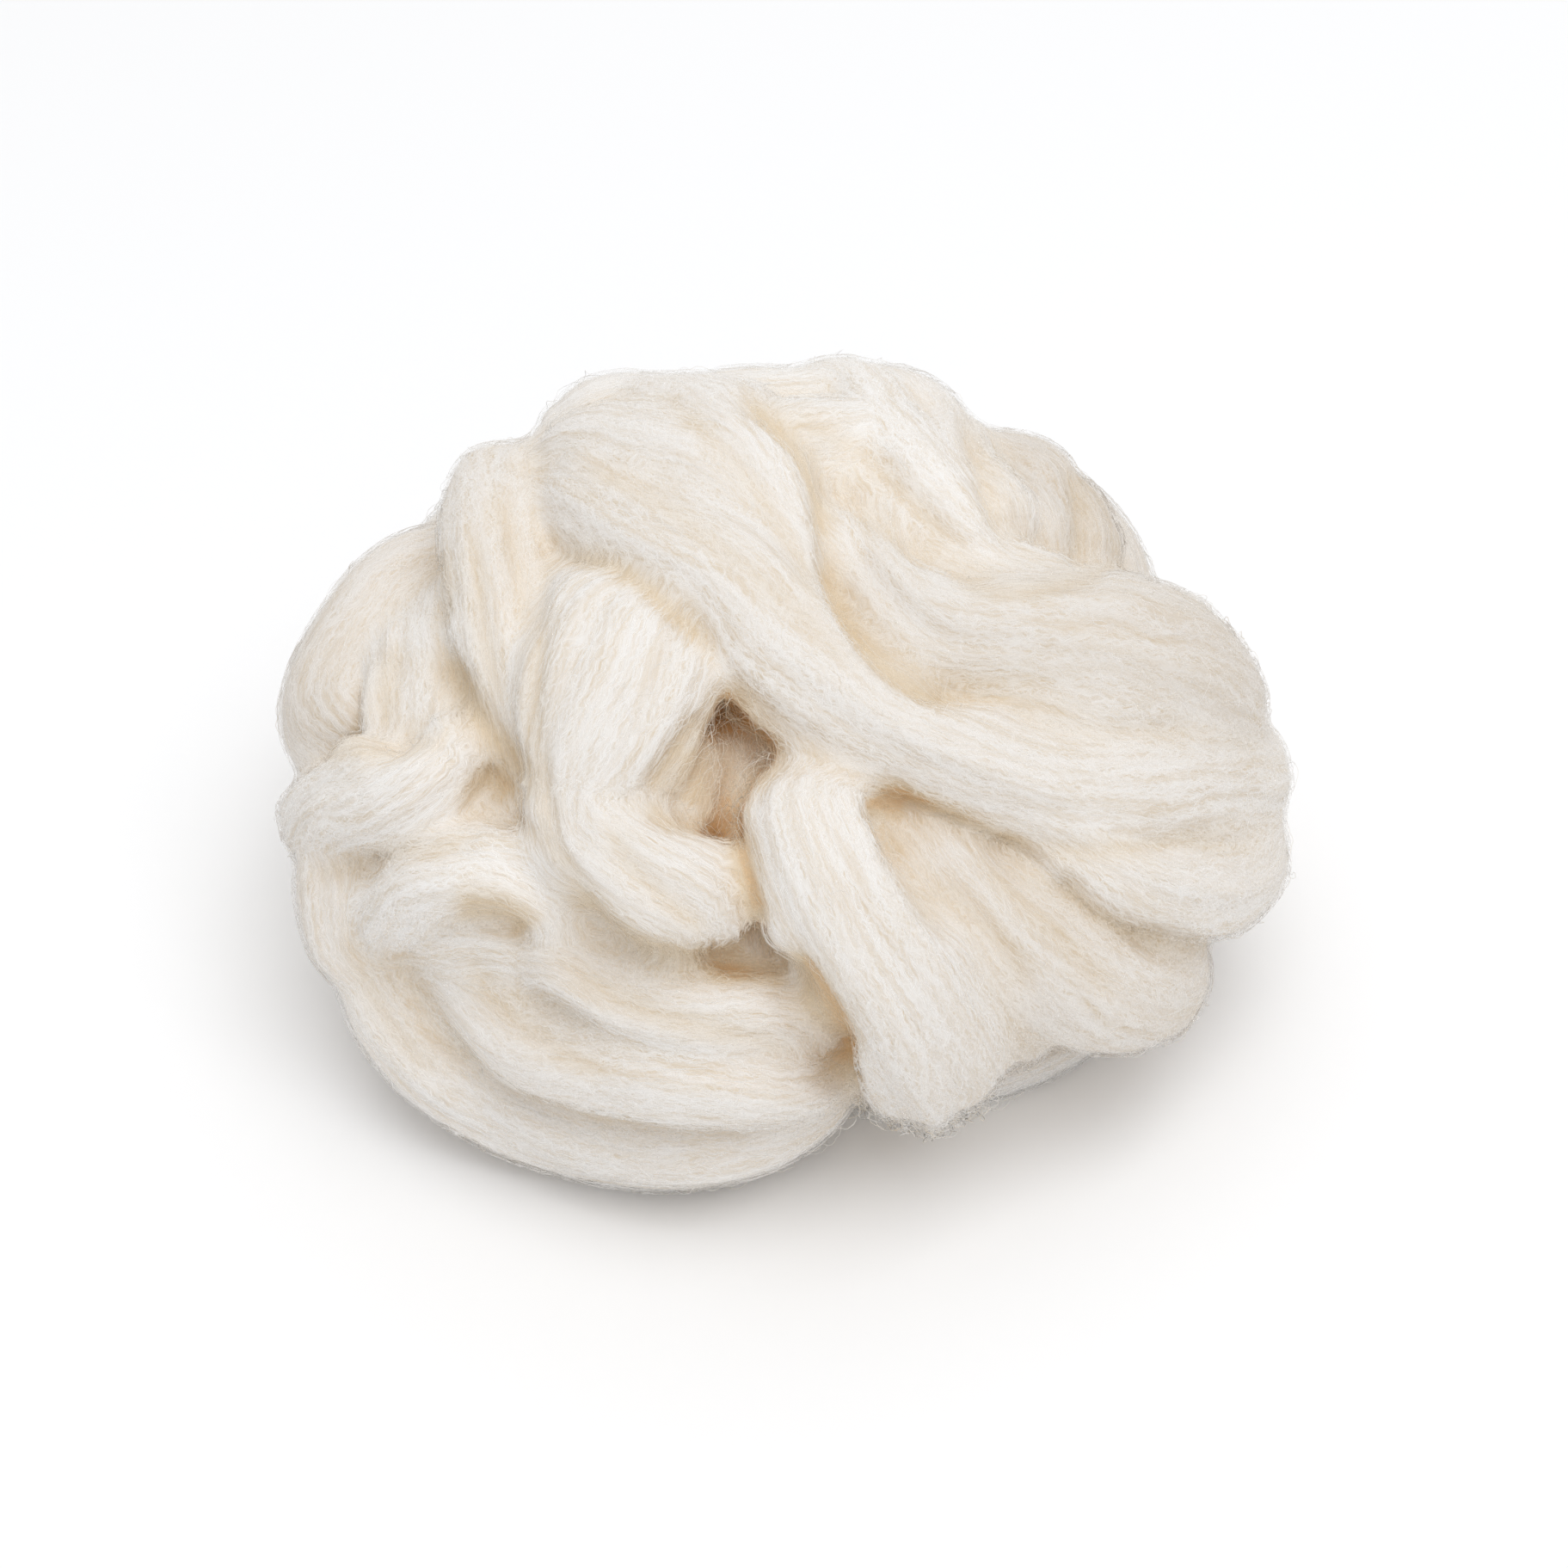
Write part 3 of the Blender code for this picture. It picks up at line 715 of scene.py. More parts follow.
@dataclass
class Fold:
    """One turn of the rope, from its stations: x, y, z, wide, thick, in millimetres.

    Its surface is M(u) + wide/2 sin(a) across(u) + thick/2 cos(a) out(u): u is the length along the middle
    line M, and a is the angle round it, 0 where it faces straight out of the heap.
    """

    stations: tuple[tuple[float, ...], ...]
    lean: tuple[float, ...] = STRAIGHT
    # The shares of painted shade at the fold's start and at its end.
    painted_shade: tuple[float, float] = UNSHADED
    step: float = 1.5
    ring_mm: float = 3.0
    ring_points: int = 24
    tip: float = 0.06

    def __post_init__(self) -> None:
        """Works out the middle line and its frame, one for each step."""
        rows = np.array(self.stations, float)
        fine = smooth_curve(rows, np.linspace(0, len(rows) - 1, 60 * len(rows)))
        gone = np.concatenate([[0], np.cumsum(np.linalg.norm(np.diff(fine[:, :3], axis=0), axis=1))])
        self.length = float(gone[-1])
        self.grid = np.linspace(0, self.length, math.ceil(self.length / self.step))
        curve = np.stack([np.interp(self.grid, gone, fine[:, column]) for column in range(5)], axis=1)
        self.middle, self.wide, self.thick = curve[:, :3], curve[:, 3], curve[:, 4]
        self.along = unit(np.gradient(self.middle, axis=0))
        out = unit((self.middle - HEAP_MIDDLE) / HEAP_HALF_SIZES**2)
        self.out = unit(out - self.along * dot(out, self.along))
        self.across = np.cross(self.along, self.out)
        # Half-round ends: the section shrinks as a circle does, over half the fold's width.
        to_end = np.minimum(self.grid, self.length - self.grid)
        inside_cap = np.clip(1 - to_end / (0.5 * self.wide), 0, 1)
        self.shrink = np.maximum(np.sqrt(1 - inside_cap**2), self.tip)
        radius = 0.25 * (self.wide + self.thick)
        self.radius = float(radius.mean())
        steps = np.linspace(0, self.length, len(self.lean))
        self.leaning = np.tan(np.radians(np.interp(self.grid, steps, self.lean)))
        self.carried = np.cumsum(self.leaning / radius) * (self.grid[1] - self.grid[0])

    def read(self, values: Array, u: Array) -> Array:
        """Reads numbers or vectors, kept for each step, at the lengths u.

        Args:
            values: one number or vector for each step of the fold.
            u: lengths along the fold, in millimetres.

        Returns:
            One number or vector for each length.
        """
        if values.ndim == 1:
            return np.interp(u, self.grid, values)
        return np.stack([np.interp(u, self.grid, values[:, column]) for column in range(3)], axis=-1)

    def rings(self) -> tuple[Array, Array]:
        """The fold's plain surface: oval rings closed with a fan at each end.

        Returns:
            The points, and the faces as triangles.
        """
        t = np.linspace(0, 1, max(10, math.ceil(self.length / self.ring_mm)))
        # The rings crowd towards both ends: a straight run eased with a cosine.
        u = self.length * (0.7 * t + 0.3 * (0.5 - 0.5 * np.cos(math.pi * t)))
        a = np.linspace(0, 2 * math.pi, self.ring_points, endpoint=False)
        shrink = self.read(self.shrink, u)
        sideways = 0.5 * (self.read(self.wide, u) * shrink)[:, None] * np.sin(a)
        outward = 0.5 * (self.read(self.thick, u) * shrink)[:, None] * np.cos(a)
        middle = self.read(self.middle, u)
        points = (
            middle[:, None]
            + sideways[..., None] * self.read(self.across, u)[:, None]
            + outward[..., None] * self.read(self.out, u)[:, None]
        ).reshape(-1, 3)
        fans = end_fans(len(u), self.ring_points)[:, [1, 0, 2]]
        faces = np.vstack([halved(ring_faces(len(u), self.ring_points)), fans])
        return np.vstack([points, middle[:1], middle[-1:]]), faces

    def places(self, points: Array) -> tuple[Array, Array, Array]:
        """Finds each point's place on the fold.

        Args:
            points: points x 3, in millimetres.

        Returns:
            u, a and how far the point lies outside the fold's oval, all in one number for each point.
        """
        squares = (points**2).sum(axis=1)[:, None] - 2 * points @ self.middle.T + (self.middle**2).sum(axis=1)
        nearest = squares.argmin(axis=1)
        past = np.sum((points - self.middle[nearest]) * self.along[nearest], axis=1)
        u = np.clip(self.grid[nearest] + past, 0, self.length)
        offset = points - self.read(self.middle, u)
        over = np.abs(np.sum(offset * self.read(self.along, u), axis=1))
        shrink = self.read(self.shrink, u)
        half_wide = 0.5 * self.read(self.wide, u) * shrink
        half_thick = 0.5 * self.read(self.thick, u) * shrink
        sideways = np.sum(offset * self.read(self.across, u), axis=1)
        outward = np.sum(offset * self.read(self.out, u), axis=1)
        oval = np.hypot(sideways / half_wide, outward / half_thick)
        outside = (oval - 1) * 0.5 * (half_wide + half_thick) + over
        return u, np.arctan2(sideways / half_wide, outward / half_thick), outside


def roving_folds() -> list[Fold]:
    """The rope's folds: those that show from the front, then those round the back and under the heap.

    Returns:
        The folds, in the order of their tables.
    """
    tables = {**FRONT_FOLDS, **REAR_FOLDS}
    return [
        Fold(stations, LEANS.get(name, STRAIGHT), FOLD_PAINTED_SHADE.get(name, UNSHADED))
        for name, stations in tables.items()
    ]


def egg(middle: Array, half_sizes: Array, rows: int = 24, columns: int = 36) -> tuple[Array, Array]:
    """An egg-shaped shell: middle + half sizes times the direction at polar angle p and turn q.

    Args:
        middle: the middle.
        half_sizes: half of its size each way.
        rows: rings from pole to pole.
        columns: points in each ring.

    Returns:
        The points, and the faces as triangles.
    """
    polar = np.linspace(0, math.pi, rows + 2)[1:-1, None]
    turn = np.linspace(0, 2 * math.pi, columns, endpoint=False)[None]
    ones = np.ones_like(turn)
    level = np.sin(polar)
    way = np.stack([level * np.cos(turn), level * np.sin(turn), np.cos(polar) * ones], axis=-1)
    points = (middle + half_sizes * way).reshape(-1, 3)
    faces = np.vstack([halved(ring_faces(rows, columns))[:, ::-1], end_fans(rows, columns)])
    poles = middle + np.array(((0, 0, half_sizes[2]), (0, 0, -half_sizes[2])))
    return np.vstack([points, poles]), faces


@dataclass(frozen=True)
class FrontCamera:
    """The camera, which looks at the heap from its front, from above. Lengths are in millimetres."""

    lens: float = 85.0
    sensor: float = 36.0
    distance: float = 805.0
    elevation: float = 42.0
    aim: tuple[float, float, float] = (0.0, 0.0, 43.5)
    frame_pixels: float = 1823.0

    def axes(self) -> tuple[Array, Array, Array]:
        """The ways that the camera's right, up and sight lines point.

        Returns:
            The three directions, each of length 1.
        """
        tilt = math.radians(self.elevation)
        sight = np.array((0.0, math.cos(tilt), -math.sin(tilt)))
        right = np.array((1.0, 0.0, 0.0))
        return right, np.cross(right, sight), sight

    def add(self) -> None:
        """Puts the camera in the scene and makes it the one that is used."""
        data = bpy.data.cameras.new("camera")
        data.lens = self.lens
        data.sensor_width = self.sensor
        data.clip_start = 0.01
        camera = bpy.data.objects.new("camera", data)
        sight = self.axes()[2]
        camera.location = Vector((np.array(self.aim) - self.distance * sight) * MM)
        camera.rotation_euler = Vector(sight).to_track_quat("-Z", "Y").to_euler()
        bpy.context.scene.collection.objects.link(camera)
        bpy.context.scene.camera = camera

    def scale(self) -> float:
        """Frame pixels for each millimetre, at one millimetre from the lens."""
        return self.lens / self.sensor * self.frame_pixels

    def project(self, points: Array) -> tuple[Array, Array]:
        """Where the points are in the camera's frame.

        Args:
            points: points x 3, in millimetres.

        Returns:
            Their places, counted in its pixels from the top left, and their distances along the sight line.
        """
        right, up, sight = self.axes()
        offset = points - np.array(self.aim)
        far = self.distance + offset @ sight
        sideways = self.scale() * (offset @ right) / far + self.frame_pixels / 2
        downward = self.frame_pixels / 2 - self.scale() * (offset @ up) / far
        return np.stack([sideways, downward], axis=1), far

    def cast(
        self, tree: BVHTree, path: tuple[tuple[float, float], ...], finer: int = 10
    ) -> tuple[Array, Array]:
        """Lays a smooth path of the camera's frame on a surface.

        Args:
            tree: the surface, in millimetres.
            path: places in the frame, counted in its pixels from the top left.
            finer: points for each place of the path.

        Returns:
            The path's places where it meets the surface, and how far off the surface is there.
        """
        places = smooth_curve(np.array(path, float), np.linspace(0, len(path) - 1, finer * len(path)))
        right, up, sight = self.axes()
        aside = (places - self.frame_pixels / 2) / self.scale()
        rays = unit(sight + aside[:, :1] * right - aside[:, 1:] * up)
        eye = (np.array(self.aim) - self.distance * sight).tolist()
        hits = [tree.ray_cast(eye, ray)[3] for ray in rays.tolist()]
        met = np.array([hit is not None for hit in hits])
        lengths = np.array([hit for hit in hits if hit is not None])
        return places[met], lengths * (rays[met] @ sight)


@dataclass
class CombedSurface:
    """The body's surface as arrays: where its points are, which way its fibres run, and its painted shade
    from occlusion, creases and the folds.
    """

    points: Array
    triangles: Array
    normals: Array
    ways: Array
    occlusion_shades: Array
    painted_shades: Array
    tree: BVHTree = field(init=False)

    def __post_init__(self) -> None:
        """Builds the tree that finds the nearest place on the surface."""
        self.tree = BVHTree.FromPolygons(self.points.tolist(), self.triangles.tolist())

    def nearest(self, places: Array) -> tuple[Array, Array, Array, Array]:
        """Reads the surface beside each place.

        Args:
            places: places x 3, in millimetres.

        Returns:
            The nearest points on the surface, their normals, fibre ways and painted shade.
        """
        found = [self.tree.find_nearest(place) for place in places.tolist()]
        points = np.array([hit[0] for hit in found])
        corners = self.triangles[np.array([hit[2] for hit in found])]
        normals = unit(self.normals[corners].sum(axis=1))
        ways = self.ways[corners]
        signs = np.sign(dot(ways, ways[:, :1]) + 1e-9)
        ways = (ways * signs).sum(axis=1)
        ways = unit(ways - normals * dot(ways, normals))
        # Painted shade for the fibres: the occlusion shade plus the folds' painted shade.
        closed = self.occlusion_shades[corners].mean(axis=1) + 0.8 * self.painted_shades[corners].mean(axis=1)
        return points, normals, ways, np.minimum(closed, 1.0)


class NodeSheet:
    """A material's nodes, with short ways to add sums, noise and thin crimped lines on the fibres' map."""

    def __init__(
        self, name: str, crimp_mm: float = 2.9, crimp_height: float = 0.15, sway_mm: float = 9.0
    ) -> None:
        """Makes a new material and keeps its tree and its shader.

        Args:
            name: its name.
            crimp_mm: the length of one wave of the crimp.
            crimp_height: how far the crimp takes a line aside.
            sway_mm: how far the lines sway over long stretches.
        """
        self.material = bpy.data.materials.new(name)
        self.material.use_nodes = True
        self.tree = self.material.node_tree
        self.shader = self.tree.nodes["Principled BSDF"]
        self.crimp_mm = crimp_mm
        self.crimp_height = crimp_height
        self.sway_mm = sway_mm

    def node(self, kind: str, **settings: object) -> bpy.types.Node:
        """Adds a node and sets its properties.

        Args:
            kind: the node's type.
            settings: its properties, by name.

        Returns:
            The node.
        """
        made = self.tree.nodes.new(kind)
        for key, value in settings.items():
            setattr(made, key, value)
        return made

    def plug(self, value: object, socket: bpy.types.NodeSocket) -> None:
        """Joins a socket to another, or sets a plain value on it.

        Args:
            value: a socket or a plain value.
            socket: the input that takes it.
        """
        if isinstance(value, bpy.types.NodeSocket):
            self.tree.links.new(value, socket)
        else:
            socket.default_value = value

    def sums(self, operation: str, *values: object) -> bpy.types.NodeSocket:
        """One step of arithmetic on sockets or numbers.

        Args:
            operation: the kind of arithmetic.
            values: sockets or numbers.

        Returns:
            The result's socket.
        """
        made = self.node("ShaderNodeMath", operation=operation)
        for value, socket in zip(values, made.inputs):
            self.plug(value, socket)
        return made.outputs["Value"]

    def mixed(self, *parts: tuple[object, float]) -> bpy.types.NodeSocket:
        """The sum of sockets, each times its own share.

        Args:
            parts: sockets or numbers, each with its share.

        Returns:
            The sum's socket.
        """
        total = self.sums("MULTIPLY", *parts[0])
        for part in parts[1:]:
            total = self.sums("ADD", total, self.sums("MULTIPLY", *part))
        return total

    def ranged(self, value: object, low: float, high: float) -> bpy.types.NodeSocket:
        """0 at low to 1 at high, and held between them.

        Args:
            value: a socket or a number.
            low: where 0 is.
            high: where 1 is.

        Returns:
            The result's socket.
        """
        made = self.node("ShaderNodeMapRange")
        made.inputs["From Min"].default_value = low
        made.inputs["From Max"].default_value = high
        self.plug(value, made.inputs["Value"])
        return made.outputs["Result"]

    def blend(self, factor: object, first: object, second: object) -> bpy.types.NodeSocket:
        """Mixes two colours.

        Args:
            factor: the second colour's share.
            first: the first colour.
            second: the second colour.

        Returns:
            The mixed colour's socket.
        """
        made = self.node("ShaderNodeMix", data_type="RGBA")
        self.plug(factor, made.inputs[0])
        self.plug(first, made.inputs[6])
        self.plug(second, made.inputs[7])
        return made.outputs[2]

    def place(self) -> bpy.types.NodeSocket:
        """The map: millimetres along the rope, and round it."""
        return self.node("ShaderNodeUVMap", uv_map="fibre_mm").outputs["UV"]

    def point_value(self, name: str) -> bpy.types.NodeSocket:
        """Reads the numbers that were kept for the points under this name."""
        return self.node("ShaderNodeAttribute", attribute_name=name).outputs["Fac"]

    def with_fold_shade(self, tone: bpy.types.NodeSocket) -> bpy.types.NodeSocket:
        """Paints the folds' shade into a colour: it goes towards the shade colour by each point's painted
        shade.
        """
        return self.blend(self.point_value("painted_shade"), tone, PAINTED_SHADE_COLOUR)

    def noise(
        self, source: object, along: float, around: float, detail: float, seed: float
    ) -> bpy.types.NodeSocket:
        """Noise on the map, with its own number of spots for each millimetre both ways.

        Args:
            source: the vector that the noise is read at.
            along: spots for each millimetre along the rope.
            around: spots for each millimetre round it.
            detail: how many finer layers the noise has.
            seed: a number that makes this noise its own.

        Returns:
            The noise, from 0 to 1.
        """
        mapping = self.node("ShaderNodeMapping")
        mapping.inputs["Scale"].default_value = (along, around, 1.0)
        mapping.inputs["Location"].default_value = (seed, seed, seed)
        self.plug(source, mapping.inputs["Vector"])
        made = self.node("ShaderNodeTexNoise")
        made.inputs["Scale"].default_value = 1.0
        made.inputs["Detail"].default_value = detail
        made.inputs["Roughness"].default_value = NOISE_ROUGHNESS
        self.plug(mapping.outputs["Vector"], made.inputs["Vector"])
        return made.outputs["Fac"]

    def crimped(self, seed: float, slant: float, wander: float) -> bpy.types.NodeSocket:
        """The map with its lines swaying, waving by the crimp, and turned a little.

        around + crimp sin(2 pi along / pitch + wander noise) + sway noise + slant along

        Args:
            seed: a number that makes this noise its own.
            slant: how far the lines turn, as a tangent.
            wander: how far the crimp's phase wanders, in radians.

        Returns:
            The bent map.
        """
        place = self.place()
        split = self.node("ShaderNodeSeparateXYZ")
        self.plug(place, split.inputs["Vector"])
        along, around = split.outputs["X"], split.outputs["Y"]
        shift = self.noise(place, along=0.10, around=0.55, detail=2.0, seed=seed)
        phase = self.sums("MULTIPLY", shift, wander)
        turns = self.sums("ADD", self.sums("MULTIPLY", along, 2 * math.pi / self.crimp_mm), phase)
        wave = self.sums("SINE", turns)
        sway = self.noise(place, along=0.05, around=0.07, detail=1.0, seed=seed + 5.0)
        joined = self.node("ShaderNodeCombineXYZ")
        self.plug(along, joined.inputs["X"])
        bent = self.mixed((around, 1.0), (wave, self.crimp_height), (sway, self.sway_mm), (along, slant))
        self.plug(bent, joined.inputs["Y"])
        return joined.outputs["Vector"]

    def lines(
        self, source: object, along: float, wide: float, thin: float, seed: float
    ) -> bpy.types.NodeSocket:
        """Thin lines where stretched noise passes its middle: 1 - thin |noise - 0.5|, not below 0.

        Args:
            source: the vector that the noise is read at.
            along: spots for each millimetre along the rope.
            wide: how wide the lines' spacing is, in millimetres.
            thin: how thin the lines are: more is thinner.
            seed: a number that makes this noise its own.

        Returns:
            1 on a line, to 0 between them.
        """
        spots = self.noise(source, along, 1.0 / wide, detail=1.0, seed=seed)
        away = self.sums("ABSOLUTE", self.sums("SUBTRACT", spots, 0.5))
        return self.sums("MAXIMUM", self.sums("SUBTRACT", 1.0, self.sums("MULTIPLY", away, thin)), 0.0)


@dataclass(frozen=True)
class WoolFinish:
    """Combed wool: bright on its locks, cream between them, and painted tan and brown shade where it is
    closed in.
    """

    name: str = "combed_wool"
    bright: tuple[float, float, float] = (0.85, 0.81, 0.765)
    cream: tuple[float, float, float] = (0.715, 0.61, 0.475)
    # Painted shade: tan where the wool is closed in or creased, and brown where it is most closed in.
    crevice_shade: tuple[float, float, float] = (0.70, 0.575, 0.415)
    deep: tuple[float, float, float] = (0.68, 0.41, 0.18)
    roughness: float = 0.95
    specular: float = 0.10
    sheen: float = 0.15
    sheen_roughness: float = 0.5

    def dress(self, sheet: NodeSheet) -> None:
        """Sets what all the wool shares.

        Args:
            sheet: the material's nodes.
        """
        sheet.shader.inputs["Roughness"].default_value = self.roughness
        sheet.shader.inputs["Specular IOR Level"].default_value = self.specular
        sheet.shader.inputs["Sheen Weight"].default_value = self.sheen
        sheet.shader.inputs["Sheen Roughness"].default_value = self.sheen_roughness


@dataclass(frozen=True)
class RopeWool(WoolFinish):
    """Wool on the body: fine crimped lines that run along the fibres, read from the map in millimetres."""

    name: str = "rope_wool"
    streak_mm: float = 2.6
    strand_mm: float = 0.95
    fibre_mm: float = 0.34
    bump_mm: float = 0.15
    wander: float = 10.0
    ground_range: tuple[float, float] = (0.38, 0.60)
    crevice_shade_range: tuple[float, float] = (-0.02, 0.50)
    deep_shade_range: tuple[float, float] = (0.55, 0.88)

    def material(self) -> bpy.types.Material:
        """Builds the node tree: thin bright lines, bent by a crimp, on soft streaks of a darker ground, with
        painted tan and brown shade where the wool is closed in.

        Returns:
            The material.
        """
        sheet = NodeSheet(self.name)
        self.dress(sheet)
        first = sheet.crimped(seed=0.0, slant=0.03, wander=self.wander)
        second = sheet.crimped(seed=11.0, slant=-0.12, wander=self.wander)
        third = sheet.crimped(seed=23.0, slant=0.38, wander=self.wander)
        fine = sheet.sums(
            "MAXIMUM",
            sheet.lines(first, along=0.045, wide=2.6 * self.fibre_mm, thin=9.0, seed=3.0),
            sheet.lines(second, along=0.06, wide=3.0 * self.fibre_mm, thin=10.0, seed=7.0),
        )
        crossing = sheet.lines(third, along=0.16, wide=5.0 * self.fibre_mm, thin=16.0, seed=9.0)
        strands = sheet.noise(first, along=0.030, around=1.0 / self.strand_mm, detail=2.0, seed=13.0)
        streaks = sheet.noise(first, along=0.012, around=1.0 / self.streak_mm, detail=2.0, seed=1.0)
        broad = sheet.noise(sheet.place(), along=0.012, around=0.10, detail=2.0, seed=2.0)
        ground = sheet.mixed((strands, 0.35), (streaks, 0.45), (broad, 0.20))
        ground = sheet.ranged(ground, *self.ground_range)
        threads = sheet.mixed((fine, 0.34), (crossing, 0.18))
        lit = sheet.sums("MINIMUM", sheet.mixed((ground, 0.70), (threads, 1.0)), 1.0)
        tone = sheet.blend(lit, (*self.cream, 1.0), (*self.bright, 1.0))
        # Painted shade: the colour goes tan, then brown, by the occlusion shade.
        closed = sheet.mixed((sheet.point_value("occlusion_shade"), 1.0), (threads, -0.06), (ground, -0.05))
        tone = sheet.blend(sheet.ranged(closed, *self.crevice_shade_range), tone, (*self.crevice_shade, 1.0))
        tone = sheet.blend(sheet.ranged(closed, *self.deep_shade_range), tone, (*self.deep, 1.0))
        sheet.plug(sheet.with_fold_shade(tone), sheet.shader.inputs["Base Color"])

        bump = sheet.node("ShaderNodeBump")
        bump.inputs["Strength"].default_value = 1.0
        bump.inputs["Distance"].default_value = self.bump_mm * MM
        sheet.plug(sheet.mixed((strands, 1.0), (streaks, 2.0), (threads, 0.45)), bump.inputs["Height"])
        sheet.plug(bump.outputs["Normal"], sheet.shader.inputs["Normal"])
        return sheet.material


@dataclass(frozen=True)
class HazeWool(WoolFinish):
    """The thin haze of loose fibres over the folds: crimped lines that cross, with nothing between them."""

    name: str = "haze_wool"
    bright: tuple[float, float, float] = (0.87, 0.855, 0.835)
    # Here cream is painted shade, where the haze lies a little closed in.
    cream: tuple[float, float, float] = (0.79, 0.70, 0.575)
    seed: float = 40.0
    spacing_mm: float = 1.5
    thin: float = 15.0
    cover: float = 0.6
    crimp_height: float = 0.18
    wander: float = 12.0
    wisp_range: tuple[float, float] = (0.38, 0.60)
    thinned_range: tuple[float, float] = (0.45, 0.95)
    cream_shade_range: tuple[float, float] = (0.02, 0.50)
    crevice_shade_range: tuple[float, float] = (0.40, 0.75)
    deep_shade_range: tuple[float, float] = (0.65, 0.95)
    # The lines lie in four ways: slant, spots for each millimetre along, and width as a share of the spacing.
    ways: tuple[tuple[float, float, float], ...] = (
        (0.06, 0.035, 1.0),
        (-0.12, 0.04, 1.0),
        (0.28, 0.07, 1.3),
        (-0.60, 0.12, 1.9),
    )

    def material(self) -> bpy.types.Material:
        """Builds the node tree: the lines' own opacity, and bright, or cream to brown painted shade, by how
        closed in they lie.

        Returns:
            The material.
        """
        sheet = NodeSheet(self.name, crimp_height=self.crimp_height)
        self.dress(sheet)
        lines = []
        for k, (slant, along, wide) in enumerate(self.ways):
            source = sheet.crimped(self.seed + 7.0 * k, slant, self.wander)
            lines.append(sheet.lines(source, along, wide * self.spacing_mm, self.thin, self.seed + k))
        most = lines[0]
        for line in lines[1:]:
            most = sheet.sums("MAXIMUM", most, line)
        bent = sheet.crimped(self.seed + 3.0, slant=0.04, wander=self.wander)
        wisps = sheet.noise(bent, along=0.020, around=0.42, detail=2.0, seed=self.seed)
        wisps = sheet.ranged(wisps, *self.wisp_range)
        share = sheet.mixed((wisps, 0.85 * self.cover), (1.0, 0.15 * self.cover))
        occlusion_shade = sheet.point_value("occlusion_shade")
        # The haze thins where the wool is closed in, so that the painted shade under it shows.
        open_share = sheet.mixed((sheet.ranged(occlusion_shade, *self.thinned_range), -0.6), (1.0, 1.0))
        opacity = sheet.sums("MULTIPLY", most, sheet.sums("MULTIPLY", share, open_share))
        sheet.plug(opacity, sheet.shader.inputs["Alpha"])
        # Painted shade: cream, then tan, then brown by the occlusion shade.
        tone = sheet.blend(sheet.ranged(occlusion_shade, *self.cream_shade_range), (*self.bright, 1.0), (*self.cream, 1.0))
        tone = sheet.blend(sheet.ranged(occlusion_shade, *self.crevice_shade_range), tone, (*self.crevice_shade, 1.0))
        tone = sheet.blend(sheet.ranged(occlusion_shade, *self.deep_shade_range), tone, (*self.deep, 1.0))
        sheet.plug(sheet.with_fold_shade(tone), sheet.shader.inputs["Base Color"])
        return sheet.material


@dataclass(frozen=True)
class FibreWool(WoolFinish):
    """Wool of single fibres: one even tone for each, kept in its points, with painted shade where they lie
    closed in.
    """

    name: str = "fibre_wool"
    bright: tuple[float, float, float] = (0.90, 0.885, 0.865)
    cream: tuple[float, float, float] = (0.82, 0.75, 0.66)
    crevice_shade_at: float = 0.35
    cream_at: float = 0.70

    def material(self) -> bpy.types.Material:
        """Builds the node tree: brown or tan painted shade, cream or bright by the fibre's tone.

        Returns:
            The material.
        """
        sheet = NodeSheet(self.name)
        self.dress(sheet)
        ramp = sheet.node("ShaderNodeValToRGB")
        first, last = ramp.color_ramp.elements
        first.position, first.color = 0.0, (*self.deep, 1.0)
        last.position, last.color = 1.0, (*self.bright, 1.0)
        ramp.color_ramp.elements.new(self.crevice_shade_at).color = (*self.crevice_shade, 1.0)
        ramp.color_ramp.elements.new(self.cream_at).color = (*self.cream, 1.0)
        sheet.plug(sheet.point_value("tone"), ramp.inputs["Fac"])
        sheet.plug(ramp.outputs["Color"], sheet.shader.inputs["Base Color"])
        return sheet.material


